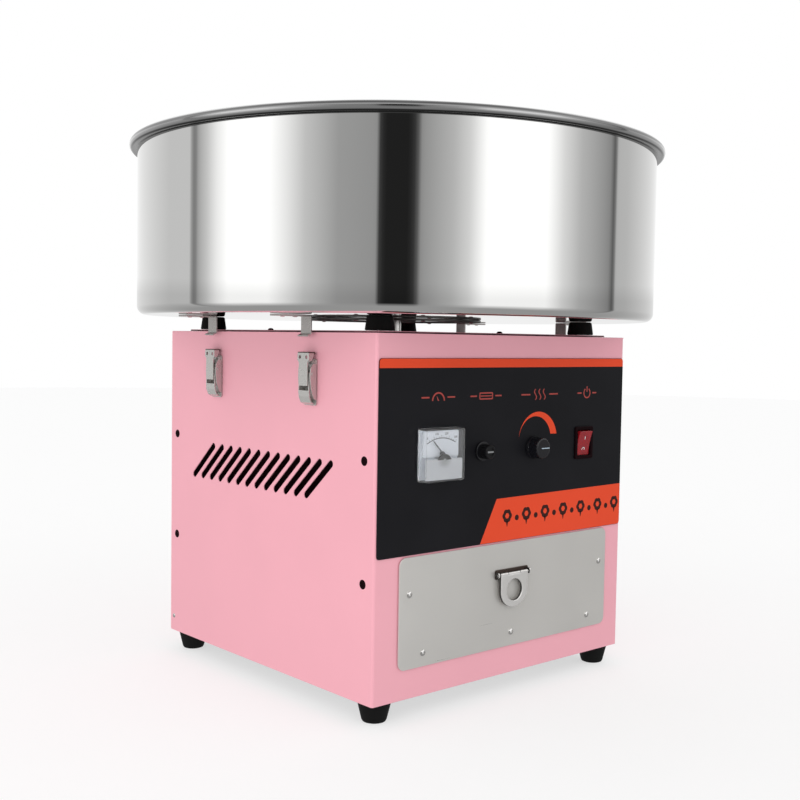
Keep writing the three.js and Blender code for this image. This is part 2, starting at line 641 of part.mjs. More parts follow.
function buildSpinner() {
  const { radius, floor, band, cap } = HEAD;
  const inner = SHAFT + GAP;
  const bandLow = floor + 6;
  const bandHigh = bandLow + band;
  add("spinner_base", "aluminium", turned([
    [inner, floor - 10], [16, floor - 10], [18, floor], [radius - 3, floor], [radius, floor + 2],
    [radius, bandLow - GAP], [radius - 5, bandLow - GAP], [radius - 6, floor + 4], [18, floor + 4],
    [inner, floor + 8],
  ], 24));
  add("heating_element", "copper", ring(radius - 8, radius - 11, bandLow + 3, bandHigh - 4, 24));
  add("spinner_band", "aluminium", perforatedBand(bandLow, bandHigh));
  const capLow = bandHigh + GAP;
  const capHigh = capLow + cap;
  const cupLow = floor + 8 + GAP;
  add("spinner_cap", "aluminium", turned([
    [inner, cupLow], [28, cupLow], [28, capHigh - 2], [40, capHigh - 2], [radius - 4, capLow],
    [radius, capLow], [radius, capLow + 3], [41, capHigh], [26, capHigh], [26, cupLow + 2],
    [inner, cupLow + 2],
  ], 24));
}

buildCabinet();
buildRubber();
buildGland();
buildPan();
buildLatches();
buildPanel();
buildMeter();
buildFuse();
buildHeatControl();
buildSwitch();
buildDrawer();
buildRunners();
buildHandle();
buildDrive();
buildSpinner();

export default machine;
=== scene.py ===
from math import asin, atan2, copysign, cos, degrees, dist, hypot, pi, radians, sin, sqrt, tan

import bmesh
import bpy
from mathutils import Matrix, Vector


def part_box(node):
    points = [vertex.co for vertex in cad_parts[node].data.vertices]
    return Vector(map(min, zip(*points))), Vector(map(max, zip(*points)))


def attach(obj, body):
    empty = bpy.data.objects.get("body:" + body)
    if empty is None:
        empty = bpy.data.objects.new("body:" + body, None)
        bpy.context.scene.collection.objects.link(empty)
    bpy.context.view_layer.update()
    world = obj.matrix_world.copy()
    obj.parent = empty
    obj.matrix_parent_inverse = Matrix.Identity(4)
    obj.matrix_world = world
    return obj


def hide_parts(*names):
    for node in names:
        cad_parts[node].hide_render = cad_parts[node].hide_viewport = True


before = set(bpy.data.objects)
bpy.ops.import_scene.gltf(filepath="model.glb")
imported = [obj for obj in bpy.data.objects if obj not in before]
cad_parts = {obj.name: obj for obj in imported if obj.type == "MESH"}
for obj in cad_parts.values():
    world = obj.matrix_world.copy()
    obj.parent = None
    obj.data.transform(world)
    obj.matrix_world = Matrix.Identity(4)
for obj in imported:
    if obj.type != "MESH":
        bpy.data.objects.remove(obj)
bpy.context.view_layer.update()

# Looks of the counter-top cotton candy machine, in metres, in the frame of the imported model.

MM = 0.001
TINY = 1e-7  # points nearer than this are one point
CORNERS = {
    "front_left": (-1, -1), "front_right": (1, -1), "rear_right": (1, 1), "rear_left": (-1, 1),
}

CABINET_LOW, CABINET_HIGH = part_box("cabinet_wrap")
PANEL_LOW, PANEL_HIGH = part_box("control_panel")
PAN_LOW, PAN_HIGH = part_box("pan")
REAR_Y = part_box("rear_panel")[1].y
MOUNT_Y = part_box("voltmeter_cover")[1].y  # the face that the controls stand on

SHEET = 1.2 * MM
BEND = 2.5 * MM  # outer radius of the cabinet's folds
BEND_STEPS = 8
FLANGE = 22 * MM
PRINT = 0.04 * MM  # how far ink stands on a surface
ROOT = 0.3 * MM  # how deep a screw or rivet head goes into its surface

VENT_COUNT = 13
VENT_PITCH = 15.45 * MM
VENT_FIRST = 56.4 * MM  # lower end of the first vent, from the front
VENT_RUN = 39.1 * MM
VENT_RISE = 34.4 * MM
VENT_HIGH = 197.6 * MM
VENT_WIDTH = 6.4 * MM

UP, DOWN = (0, 0, 1), (0, 0, -1)
FRONT, REAR = (0, -1, 0), (0, 1, 0)
LEFT, RIGHT = (-1, 0, 0), (1, 0, 0)
WHITE = (1, 1, 1)


# Outlines, as lists of (x, y)

def mm(points, origin=(0, 0)):
    """Points given in millimetres from an origin, in metres."""
    return [(origin[0] + x * MM, origin[1] + y * MM) for x, y in points]


def span(name):
    """A CAD node's lowest corner, its highest one and its middle."""
    low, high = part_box(name)
    return low, high, (low + high) / 2


def center_of(name):
    return span(name)[2]


def polar(radius, angle, center=(0, 0)):
    return center[0] + radius * cos(angle), center[1] + radius * sin(angle)


def around(count, first=0.0):
    """Even angles round a circle, from a first one given in steps."""
    return [2 * pi * (i + first) / count for i in range(count)]


def distinct(points):
    """The closed outline without points that lie on the one before."""
    return [p for p, q in zip(points, points[-1:] + points[:-1]) if dist(p, q) > TINY]


def arc(radius, start, end, center=(0, 0), steps=8):
    """Points from one angle to another, in degrees."""
    return [polar(radius, radians(start + (end - start) * i / steps), center) for i in range(steps + 1)]


def circle(radius, center=(0, 0), steps=40):
    return arc(radius, 0, 360 - 360 / steps, center, steps - 1)


def rounded_rect(width, height, radius, center=(0, 0), steps=6):
    half_w, half_h = width / 2 - radius, height / 2 - radius
    points = []
    for quarter, (sx, sy) in enumerate(((1, 1), (-1, 1), (-1, -1), (1, -1))):
        corner = (center[0] + sx * half_w, center[1] + sy * half_h)
        points += arc(radius, quarter * 90, quarter * 90 + 90, corner, steps)
    return distinct(points)


def bar(center, width, height, radius=0.3 * MM):
    return rounded_rect(width, height, radius, center, steps=3)


def slot(length, width, center, lean=0.0):
    """A slot with round ends, upright or leaning by an angle."""
    c, s = cos(lean), sin(lean)
    return [(center[0] + c * x - s * y, center[1] + s * x + c * y)
            for x, y in rounded_rect(width, length, width / 2)]


def fillet(points, radius, steps=4):
    """A closed outline with its corners rounded, where there is room for it."""
    result = []
    count = len(points)
    radii = radius if isinstance(radius, list) else [radius] * count
    for i, wanted in enumerate(radii):
        corner = Vector(points[i])
        back = Vector(points[i - 1]) - corner
        ahead = Vector(points[(i + 1) % count]) - corner
        half = back.angle(ahead) / 2
        if wanted <= 0 or half > radians(88):
            result.append(tuple(corner))
            continue
        reach = min(wanted / tan(half), 0.45 * back.length, 0.45 * ahead.length)
        start = corner + back.normalized() * reach
        end = corner + ahead.normalized() * reach
        for k in range(steps + 1):
            t = k / steps
            weight = 2 * t * (1 - t) * sin(half)
            blend = start * (1 - t) ** 2 + end * t ** 2 + corner * weight
            result.append(tuple(blend / ((1 - t) ** 2 + t ** 2 + weight)))
    return distinct(result)


def signed_area(loop):
    return sum(p[0] * q[1] - q[0] * p[1] for p, q in zip(loop, loop[1:] + loop[:1])) / 2


def inset(loop, distance):
    """The outline moved to the left of its direction of travel."""
    result = []
    for i, point in enumerate(loop):
        before = (Vector(point) - Vector(loop[i - 1])).normalized()
        after = (Vector(loop[(i + 1) % len(loop)]) - Vector(point)).normalized()
        first, second = Vector((-before.y, before.x)), Vector((-after.y, after.x))
        mitre = (first + second) / max(1 + first.dot(second), 0.3)
        result.append(tuple(Vector(point) + mitre * distance))
    return result


# Solids, as bmeshes

shift = Matrix.Translation


def turned(angle, axis):
    return Matrix.Rotation(angle, 4, axis)


def moved(bm, matrix):
    bmesh.ops.transform(bm, matrix=matrix, verts=bm.verts)
    return bm


def facing(normal, origin=(0, 0, 0)):
    """Puts a piece drawn in X and Y so that its Z looks along a direction, the right way up."""
    out = Vector(normal)
    up = Vector((0, copysign(1, out.z), 0)) if abs(out.z) > 0.5 else Vector(UP)
    matrix = Matrix((up.cross(out), up, out)).transposed().to_4x4()
    matrix.translation = Vector(origin)
    return matrix


def on_side(sx, place):
    """Puts a piece drawn for the right-hand side on that side or turned round on the left."""
    return shift(place) @ turned(0 if sx > 0 else pi, "Z")


def bridge(bm, rings, closed=False):
    """Faces between rings of vertices that have the same count."""
    pairs = list(zip(rings, rings[1:])) + ([(rings[-1], rings[0])] if closed else [])
    for low, high in pairs:
        for i in range(len(low)):
            j = (i + 1) % len(low)
            bm.faces.new((low[i], low[j], high[j], high[i]))


def sealed(bm, gap=TINY):
    bmesh.ops.remove_doubles(bm, verts=bm.verts, dist=gap)
    bmesh.ops.recalc_face_normals(bm, faces=bm.faces)
    return bm


def edge_levels(thickness, bevel, steps):
    """(inset, height) of a plate's rim from its lower face to its upper one."""
    if bevel <= 0:
        return [(0, 0), (0, thickness)]
    angles = [i / steps * pi / 2 for i in range(steps + 1)]
    low = [(bevel * (1 - sin(a)), bevel * (1 - cos(a))) for a in angles]
    return low + [(away, thickness - z) for away, z in reversed(low)]


def prism(loops, thickness, bevel=0.0, steps=1, base=0.0):
    """A flat plate that stands on z base. The first loop is its outline and the others are holes."""
    bm = bmesh.new()
    faces = [[], []]
    for index, loop in enumerate(loops):
        if (signed_area(loop) > 0) != (index == 0):
            loop = loop[::-1]
        rings = []
        for away, z in edge_levels(thickness, bevel, steps):
            rings.append([bm.verts.new((x, y, base + z)) for x, y in inset(loop, away)])
        bridge(bm, rings)
        for side, ring in zip(faces, (rings[0], rings[-1])):
            side += [bm.edges.get((ring[i - 1], ring[i])) for i in range(len(ring))]
    for side in faces:
        bmesh.ops.triangle_fill(bm, use_beauty=True, edges=side)
    return sealed(bm)


def ink(loops, base=0.0):
    """A thin print whose lower half is sunk into its surface."""
    return prism(loops, 2 * PRINT, base=base - PRINT)


def stacked(width, height, radius, levels, closed=False):
    """A rounded rectangle stepped in by (inset, height) levels, with both ends capped or joined up."""
    bm = bmesh.new()
    rings = []
    for away, z in levels:
        outline = rounded_rect(width - 2 * away, height - 2 * away, max(radius - away, 0.2 * MM), steps=5)
        rings.append([bm.verts.new((x, y, z)) for x, y in outline])
    bridge(bm, rings, closed)
    if not closed:
        bm.faces.new(rings[0])
        bm.faces.new(rings[-1])
    return sealed(bm)


def lathe(profile, steps=64, flutes=0, depth=0.0, between=(0, 0)):
    """A closed outline of (radius, height) points turned about Z, with flutes cut between two heights."""
    bm = bmesh.new()
    rings = []
    for radius, z in profile:
        groove = depth if flutes and between[0] <= z <= between[1] else 0
        ring = []
        for angle in around(steps):
            r = radius - groove * (0.5 - 0.5 * cos(flutes * angle)) ** 2
            ring.append(bm.verts.new((*polar(r, angle), z)))
        rings.append(ring)
    bridge(bm, rings, closed=profile[0][0] > 0)
    return sealed(bm)


def from_curve(curve):
    holder = new_object("holder", curve)
    graph = bpy.context.evaluated_depsgraph_get()
    mesh = bpy.data.meshes.new_from_object(holder.evaluated_get(graph))
    bm = bmesh.new()
    bm.from_mesh(mesh)
    bpy.data.objects.remove(holder)
    bpy.data.curves.remove(curve)
    bpy.data.meshes.remove(mesh)
    return sealed(bm)


def hoop(points, radius):
    """A round wire along a closed line."""
    curve = bpy.data.curves.new("wire", "CURVE")
    curve.dimensions = "3D"
    curve.bevel_depth = radius
    curve.bevel_resolution = 3
    spline = curve.splines.new("POLY")
    spline.points.add(len(points) - 1)
    for target, point in zip(spline.points, points):
        target.co = (*point, 1)
    spline.use_cyclic_u = True
    return from_curve(curve)


def numerals(text, size, center):
    """Upright numerals as a thin raised print."""
    curve = bpy.data.curves.new("numerals", "FONT")
    curve.body = text
    curve.size = size
    curve.align_x = "CENTER"
    curve.align_y = "CENTER"
    curve.extrude = PRINT
    return moved(from_curve(curve), shift((*center, 0)))


def across(axis, outline, width, bevel=0.2 * MM, steps=2):
    """A section drawn outward and upward, centred on the middle plane across an axis."""
    turn = turned(pi / 2, "X")
    if axis == "x":
        turn = turned(pi / 2, "Z") @ turn
    return moved(prism([outline], width, bevel, steps, base=-width / 2), turn)


def rod(radius, length, axis, center, round_end=0.2 * MM):
    """A round bar along X or Y."""
    half = length / 2
    profile = [(0, -half), (radius - round_end, -half), (radius, round_end - half)]
    profile += [(radius, half - round_end), (radius - round_end, half), (0, half)]
    turn = turned(pi / 2, "Y" if axis == "x" else "X")
    return moved(lathe(profile, 28), shift(center) @ turn)


def screw(radius, height):
    """A domed head with a cross recess, standing on z 0."""
    bm = bmesh.new()
    spokes, circles = 48, 12
    arm, reach, depth = 0.13 * radius, 0.52 * radius, 0.55 * height
    rings = [[bm.verts.new((0, 0, -ROOT)) for _ in range(spokes)]]
    for k in range(circles + 1):
        r = radius * (1 - k / circles)
        dome = height * sqrt(max(1 - (r / radius) ** 2, 0))
        ring = []
        for angle in around(spokes):
            x, y = polar(r, angle)
            recessed = min(abs(x), abs(y)) < arm and r < reach
            ring.append(bm.verts.new((x, y, dome - (depth if recessed else 0))))
        if k == 0:
            rings.append([bm.verts.new((v.co.x, v.co.y, -ROOT)) for v in ring])
        rings.append(ring)
    bridge(bm, rings)
    return sealed(bm)


def rivet(radius, height, bore=0.0):
    """A domed rivet head standing on z 0, with a dimple in its middle."""
    start = degrees(asin(min(bore / radius, 1)))
    dome = [(radius * x, height * y) for x, y in arc(1, 90 - start, 0, steps=10)]
    floor = [(0, dome[0][1] - 0.5 * height), (bore, dome[0][1] - 0.5 * height)] if bore else []
    return lathe(floor + dome + [(radius, -ROOT), (0, -ROOT)], 32)


def head(kind, sizes, normal, spot):
    """A screw or rivet, its sizes in millimetres, on a face that looks along a direction."""
    return moved(kind(*(size * MM for size in sizes)), facing(normal, spot))


# Pieces

def new_object(name, data):
    made = bpy.data.objects.new(name, data)
    bpy.context.scene.collection.objects.link(made)
    return made


def dressed(look, solids):
    return [(bm, look) for bm in solids]


def piece(name, parts, stands_for=None, body="cabinet", place=Matrix()):
    """Joins (bmesh, look) parts into one object that rides on a body and may stand for a CAD node."""
    whole = bmesh.new()
    looks = []
    for bm, look in parts:
        if look not in looks:
            looks.append(look)
        for face in bm.faces:
            face.material_index = looks.index(look)
        carrier = bpy.data.meshes.new("carrier")
        moved(bm, place).to_mesh(carrier)
        bm.free()
        whole.from_mesh(carrier)
        bpy.data.meshes.remove(carrier)
    mesh = bpy.data.meshes.new(name)
    whole.to_mesh(mesh)
    whole.free()
    mesh.shade_smooth()
    mesh.set_sharp_from_angle(angle=radians(38))
    for look in looks:
        mesh.materials.append(LOOK[look])
    obj = new_object(name, mesh)
    obj.modifiers.new("even_normals", "WEIGHTED_NORMAL").keep_sharp = True
    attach(obj, body)
    if stands_for:
        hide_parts(stands_for)


# Materials

GRAIN_HEIGHT = 0.05 * MM
SPUN = (30, 30, 1)  # stretch that draws the grain out upward
BRUSHED = (1, 60, 60)  # stretch that draws the grain out sideways
# the second colour is a painted shadow of the meter's movement on the milky plate
MILK, MOVEMENT_SHADOW = (0.62, 0.64, 0.67), (0.30, 0.31, 0.32)
# dark maroon painted on the cabinet's inner faces: painted shade with a pink reflection, seen through the
# vents
INSIDE_SHADE = (0.075, 0.010, 0.018)
INSIDE_SHADE_DEPTH = (-0.9 * SHEET, -0.7 * SHEET)  # depth in the sheet where the painted inside shade gives way to the pink
FACING_SHADE_FADE = (0.3, 0.75)  # how squarely plated metal faces its axis, from its painted-shade edge tone to its lit face tone
RIM_BAND = 8.8 * MM  # height of the rolled rim
# grey levels up the rim: painted shade in the groove, then painted reflection bands along the roll
RIM_LIGHT_TONES = ((0.0, 0.03), (0.12, 0.05), (0.20, 0.50), (0.45, 0.62), (0.56, 0.32), (0.66, 0.15), (0.76, 0.17),
             (0.86, 0.50), (1.0, 0.52))


def plug(tree, socket, value):
    """Gives an input a value, or links it to an output, or to the first output of a node."""
    if isinstance(value, bpy.types.Node):
        value = value.outputs[0]
    if isinstance(value, bpy.types.NodeSocket):
        tree.links.new(value, socket)
    else:
        socket.default_value = (*value, 1) if socket.type == "RGBA" else value


def feed(tree, made, inputs):
    for key, value in inputs.items():
        plug(tree, made.inputs[key.replace("_", " ")], value)
    return made


def node(tree, kind, *first, operation=None, **inputs):
    """A shader node, with values or other nodes for its first inputs and for the named ones."""
    made = tree.nodes.new("ShaderNode" + kind)
    if operation:
        made.operation = operation
    for socket, value in zip(made.inputs, first):
        plug(tree, socket, value)
    return feed(tree, made, inputs)


def coordinates(tree, kind="Object"):
    return node(tree, "TexCoord").outputs[kind]


def axes_of(tree, vector):
    return node(tree, "SeparateXYZ", vector).outputs


def field(tree, scale, stretch=(1, 1, 1), detail=3.0):
    """Noise over the piece, in metres, drawn out along an axis where stretch is small."""
    mapping = node(tree, "Mapping", coordinates(tree), Scale=stretch)
    return node(tree, "TexNoise", mapping, Scale=scale, Detail=detail, Roughness=0.55).outputs["Fac"]


def remap(tree, source, low, high, start=0.3, end=0.7):
    return node(tree, "MapRange", source, From_Min=start, From_Max=end, To_Min=low, To_Max=high)


def blend_colors(tree, amount, first, second):
    mix = tree.nodes.new("ShaderNodeMix")
    mix.data_type = "RGBA"
    return feed(tree, mix, {"Factor": amount, "A": first, "B": second}).outputs["Result"]


def tones(tree, place, stops):
    """A grey ramp from (place, level) pairs."""
    ramp = node(tree, "ValToRGB", place)
    elements = ramp.color_ramp.elements
    for index, (position, level) in enumerate(stops):
        stop = elements[index] if index < 2 else elements.new(position)
        stop.position = position
        stop.color = (level, level, level, 1)
    return ramp


def shade(color, factor):
    return tuple(min(channel * factor, 1) for channel in color)


def surface(name, color, roughness, spread=0.05, wear=0.06, grain=900.0, stretch=(1, 1, 1),
            bump=0.05, patch=14.0, **sockets):
    """A finish with a fine grain, slow patches of tone, and a roughness that follows both."""
    material = bpy.data.materials.new(name)
    material.use_nodes = True
    tree = material.node_tree
    fine, slow = field(tree, grain, stretch), field(tree, patch, detail=2.0)
    tone = blend_colors(tree, remap(tree, slow, 0, 1), shade(color, 1 - spread), shade(color, 1 + spread))
    rough = node(tree, "Math", remap(tree, fine, roughness - wear, roughness + wear),
                 remap(tree, slow, -wear / 2, wear / 2))
    relief = node(tree, "Bump", Strength=bump, Distance=GRAIN_HEIGHT, Height=fine)
    feed(tree, tree.nodes["Principled BSDF"], {**sockets, "Roughness": rough, "Normal": relief})
    return recolored(material, tone)


def recolored(material, tone):
    tree = material.node_tree
    plug(tree, tree.nodes["Principled BSDF"].inputs["Base Color"], tone)
    return material


def make_looks():
    return {
        "pink": painted(),
        "pan": surface("polished_steel", (0.87, 0.87, 0.86), 0.022, spread=0.015, wear=0.008, grain=26,
                       stretch=SPUN, bump=0.008, patch=7, Metallic=1.0),
        "pan_edge": rim_with_painted_light(),
        "pan_hub": surface("plated_ring", (0.17, 0.165, 0.16), 0.42, grain=300, Metallic=0.9),
        "drawer": surface("brushed_steel", (0.70, 0.685, 0.655), 0.36, spread=0.03, wear=0.07, grain=30,
                          stretch=BRUSHED, bump=0.12, patch=9, Metallic=0.6),
        "pressed": surface("pressed_steel", (0.56, 0.54, 0.52), 0.30, spread=0.02, wear=0.04, grain=260,
                           bump=0.02, patch=60, Metallic=0.75),
        # latch and pull: the edge tone is painted shade on the sides, and on the pull also a painted dark
        # reflection
        "latch": shaded_by_facing("latch_steel", (0.74, 0.73, 0.70), (0.52, 0.50, 0.48), "X", 0.27, 0.75),
        "pull": shaded_by_facing("cast_pull", (0.78, 0.765, 0.745), (0.05, 0.047, 0.045), "Y", 0.22, 0.6),
        "rivet": surface("rivet_steel", (0.78, 0.77, 0.75), 0.14, bump=0.02, Metallic=1.0),
        "zinc": surface("zinc_plate", (0.46, 0.47, 0.48), 0.45, spread=0.12, wear=0.1, grain=120,
                        patch=45, Metallic=1.0),
        "aluminium": surface("cast_aluminium", (0.72, 0.73, 0.74), 0.33, spread=0.04, grain=380,
                             bump=0.1, Metallic=1.0),
        "copper": surface("copper", (0.62, 0.30, 0.16), 0.36, spread=0.15, grain=300, Metallic=1.0),
        "element": surface("heated_ribbon", (0.30, 0.22, 0.19), 0.5, spread=0.3, grain=260, Metallic=0.8),
        "rubber": surface("rubber", (0.006, 0.006, 0.006), 0.62, spread=0.2, wear=0.08, grain=1100,
                          bump=0.3, Specular_IOR_Level=0.15),
        # near black, with a red tint that is a painted reflection of the pink cabinet
        "bolt": surface("black_with_pink_reflection", (0.008, 0.002, 0.003), 0.5, grain=800, Specular_IOR_Level=0.04),
        # dark steel as painted reflection and painted shadow: the pan's dark underside on the latch hood,
        # the shadow over the ring on the handle's bracket plate
        "hood": surface("shade_darkened_steel", (0.09, 0.065, 0.055), 0.3, grain=260, Metallic=0.8),
        # bluish pointer: partly a printed pointer, partly a painted highlight line across the knob
        "pointer": surface("pointer_with_painted_highlight", (0.40, 0.50, 0.58), 0.4, spread=0.02),
        "plastic": surface("black_plastic", (0.007, 0.007, 0.008), 0.32, spread=0.15, grain=1500, bump=0.1,
                           Specular_IOR_Level=0.25),
        "gloss": surface("glossy_black", (0.006, 0.006, 0.008), 0.10, spread=0.1, wear=0.03, grain=500,
                         bump=0.02, Specular_IOR_Level=0.5),
        "film": surface("panel_film", (0.0085, 0.0085, 0.0105), 0.38, spread=0.12, wear=0.05, grain=1300,
                        bump=0.12, Specular_IOR_Level=0.12),
        "orange": surface("orange_print", (0.74, 0.066, 0.021), 0.42, spread=0.02, wear=0.04, grain=1300,
                          bump=0.08, Specular_IOR_Level=0.15),
        "label": surface("red_print", (0.36, 0.042, 0.032), 0.45, spread=0.03, grain=1300),
        "ink": surface("dark_ink", (0.035, 0.010, 0.008), 0.5, spread=0.1, grain=1300,
                       Specular_IOR_Level=0.15),
        "dial": surface("dial_white", (0.82, 0.86, 0.92), 0.6, spread=0.01),
        "scale": surface("dial_ink", (0.045, 0.05, 0.06), 0.55, spread=0.1),
        "frost": frosted(),
        "clear": surface("clear_plastic", (0.98, 0.985, 0.99), 0.05, spread=0.005, wear=0.02, grain=60,
                         bump=0.01, Transmission_Weight=0.95, IOR=1.25),
        "red": surface("red_plastic", (0.27, 0.008, 0.014), 0.14, spread=0.15, wear=0.03, grain=500,
                       patch=120, bump=0.02, Subsurface_Weight=0.25, Subsurface_Scale=2 * MM,
                       Coat_Weight=0.3),
        "mark": surface("white_print", (0.82, 0.80, 0.80), 0.5, spread=0.02),
        "glass": surface("fuse_glass", (0.85, 0.88, 0.88), 0.08, wear=0.02, Transmission_Weight=0.9),
    }


def painted():
    """Pink powder coat outside; the inner faces are painted a dark maroon that stands for the shade inside
    the cabinet, tinted by the pink's reflection.
    """
    material = surface("pink_paint", (0.83, 0.385, 0.452), 0.42, spread=0.012, wear=0.04, grain=700,
                       bump=0.06, Coat_Weight=0.25, Coat_Roughness=0.18)
    tree = material.node_tree
    high = Vector((CABINET_HIGH.x, REAR_Y, CABINET_HIGH.z))
    center, half = (CABINET_LOW + high) / 2, (high - CABINET_LOW) / 2
    from_center = node(tree, "Mapping", coordinates(tree), Location=-center)
    size = node(tree, "VectorMath", from_center, operation="ABSOLUTE")
    depth = axes_of(tree, node(tree, "VectorMath", size, half, operation="SUBTRACT"))
    nearest = depth["X"]
    for axis in ("Y", "Z"):
        nearest = node(tree, "Math", nearest, depth[axis], operation="MAXIMUM")
    outside = remap(tree, nearest, 0, 1, *INSIDE_SHADE_DEPTH)
    coat = tree.nodes["Principled BSDF"].inputs["Base Color"].links[0].from_socket
    return recolored(material, blend_colors(tree, outside, INSIDE_SHADE, coat))


def shaded_by_facing(name, face, edge, axis, roughness, metallic):
    """Plated metal with painted light: lit where it faces along an axis, with painted shade and a painted
    dark reflection round its edges.
    """
    material = surface(name, face, roughness, wear=0.01, grain=90, bump=0.002, Metallic=metallic)
    tree = material.node_tree
    along = axes_of(tree, coordinates(tree, "Normal"))[axis]
    size = node(tree, "Math", along, operation="ABSOLUTE")
    return recolored(material, blend_colors(tree, remap(tree, size, 0, 1, *FACING_SHADE_FADE), edge, face))


def rim_with_painted_light():
    """The pan's rim: painted shade in the groove under it, then a painted bright reflection with a darker
    painted line along the roll.
    """
    material = surface("rim_with_painted_light", (0.5, 0.5, 0.49), 0.12, wear=0.03, grain=26, stretch=SPUN,
                       bump=0.02, patch=7, Metallic=1.0)
    tree = material.node_tree
    height = axes_of(tree, coordinates(tree))["Z"]
    place = remap(tree, height, 0, 1, PAN_HIGH.z - RIM_BAND, PAN_HIGH.z)
    return recolored(material, tones(tree, place, RIM_LIGHT_TONES))


def frosted():
    """Milky plate of the meter's lower half, with a painted shadow of the movement behind it."""
    material = surface("frosted_plate", MILK, 0.5, grain=700, bump=0.08)
    tree = material.node_tree
    low, _, case = span("voltmeter_case")
    middle = Vector((case.x, low.y, center_of("voltmeter_cover").z - 5.5 * MM))
    from_middle = node(tree, "Mapping", coordinates(tree), Location=-middle)
    squeezed = node(tree, "Mapping", from_middle, Scale=(1 / (9 * MM), 0, 1 / (6.5 * MM)))
    ball = node(tree, "TexGradient", squeezed)
    ball.gradient_type = "SPHERICAL"
    amount = remap(tree, ball.outputs["Fac"], 0, 0.75, 0, 0.8)
    return recolored(material, blend_colors(tree, amount, MILK, MOVEMENT_SHADOW))


LOOK = make_looks()


# Cabinet

EDGE = 0.25 * MM  # how far a sheet's edges are rounded
METER_BORE, FUSE_BORE, KNOB_BORE = 19.3 * MM, 6.3 * MM, 4 * MM  # radii of the openings
SWITCH_CUT = (22.6 * MM, 27.6 * MM)
MOUTH_ROOM = (4 * MM, 6 * MM)  # how much wider and taller than the drawer its opening is
REAR_SLOTS = range(-4, 5)
REAR_SLOT_LENGTH, REAR_SLOT_PITCH, REAR_SLOT_UP = 40 * MM, 16 * MM, 80 * MM
GLAND_BORE = 8.3 * MM
REAR_SCREWS_IN = 8 * MM
REAR_SCREWS_UP = (25, 100, 203, 292)
DECK_SEAL = 0.6 * MM
DECK_HOLE = 32 * MM
DECK_SCREWS_IN = 10 * MM


def fold_sheet(bm, depth):
    """Folds a flat sheet, drawn from rear left round to rear right, at the two front corners."""
    half = CABINET_HIGH.x
    side, bend = depth - BEND, BEND * pi / 2
    width = 2 * half - 2 * BEND
    starts = (side, side + bend + width)
    for start in starts:
        for i in range(BEND_STEPS + 1):
            geometry = bm.verts[:] + bm.edges[:] + bm.faces[:]
            cut = (start + bend * i / BEND_STEPS, 0, 0)
            bmesh.ops.bisect_plane(bm, geom=geometry, plane_co=cut, plane_no=(1, 0, 0), dist=TINY)
    for vertex in bm.verts:
        along, up, out = vertex.co
        turn = sum(min(max((along - start) / BEND, 0), pi / 2) for start in starts)
        normal = Vector((-cos(turn), -sin(turn)))
        corner_x = -half + BEND + min(max(along - starts[0] - bend, 0), width)
        run = max(side - along, 0) + max(along - starts[1] - bend, 0)
        spot = Vector((corner_x, CABINET_LOW.y + BEND + run)) + normal * (BEND + out)
        vertex.co = (spot.x, spot.y, up)
    return sealed(bm)


def vent_slots(left, right):
    """The vents of both sides, on a flat sheet whose sides start at these places."""
    length, lean = hypot(VENT_RUN, VENT_RISE), atan2(VENT_RUN, VENT_RISE)
    up = CABINET_LOW.z + VENT_HIGH - VENT_RISE / 2
    for i in range(VENT_COUNT):
        away = VENT_FIRST + i * VENT_PITCH + VENT_RUN / 2
        yield slot(length, VENT_WIDTH, (left - away, up), -lean)
        yield slot(length, VENT_WIDTH, (right + away, up), lean)


def control_holes():
    """Openings behind the controls, in the front sheet and in the panel, in X and Z."""
    meter, fuse, knob, switch = (
        center_of(name).xz for name in ("voltmeter_cover", "fuse_holder", "control_knob", "switch_body"))
    return [circle(METER_BORE, meter), circle(FUSE_BORE, fuse), circle(KNOB_BORE, knob),
            rounded_rect(*SWITCH_CUT, 1 * MM, switch)]


def drawer_mouth():
    low, high, center = span("drawer_tray")
    width, height = high.x - low.x + MOUTH_ROOM[0], high.z - low.z + MOUTH_ROOM[1]
    return rounded_rect(width, height, 2 * MM, (0, center.z))


def build_wrap():
    """One sheet, folded into the front and both sides, with a flange round its top."""
    depth = CABINET_HIGH.y - CABINET_LOW.y
    half = CABINET_HIGH.x
    bend = BEND * pi / 2
    front_start = depth - BEND + bend - (BEND - half)
    right_start = depth - BEND + 2 * bend + 2 * half - 3 * BEND
    length = right_start + depth
    low, high = CABINET_LOW.z, CABINET_HIGH.z
    outline = fillet([(0, low), (length, low), (length, high), (0, high)], 1 * MM, 3)
    holes = [[(x + front_start, z) for x, z in loop] for loop in control_holes() + [drawer_mouth()]]
    sheet = prism([outline, *vent_slots(depth, right_start)] + holes, SHEET, EDGE, base=-SHEET)
    rim = half - 0.4 * MM
    inner = half - FLANGE
    front, back = CABINET_LOW.y + 0.4 * MM, CABINET_HIGH.y - 1.4 * MM
    edge = CABINET_LOW.y + FLANGE
    flange = [(-rim, back), (-rim, front), (rim, front), (rim, back), (inner, back), (inner, edge),
              (-inner, edge), (-inner, back)]
    solids = [fold_sheet(sheet, depth), prism([flange], SHEET, 0.2 * MM, base=high - SHEET)]
    piece("cabinet_shell", dressed("pink", solids), "cabinet_wrap")


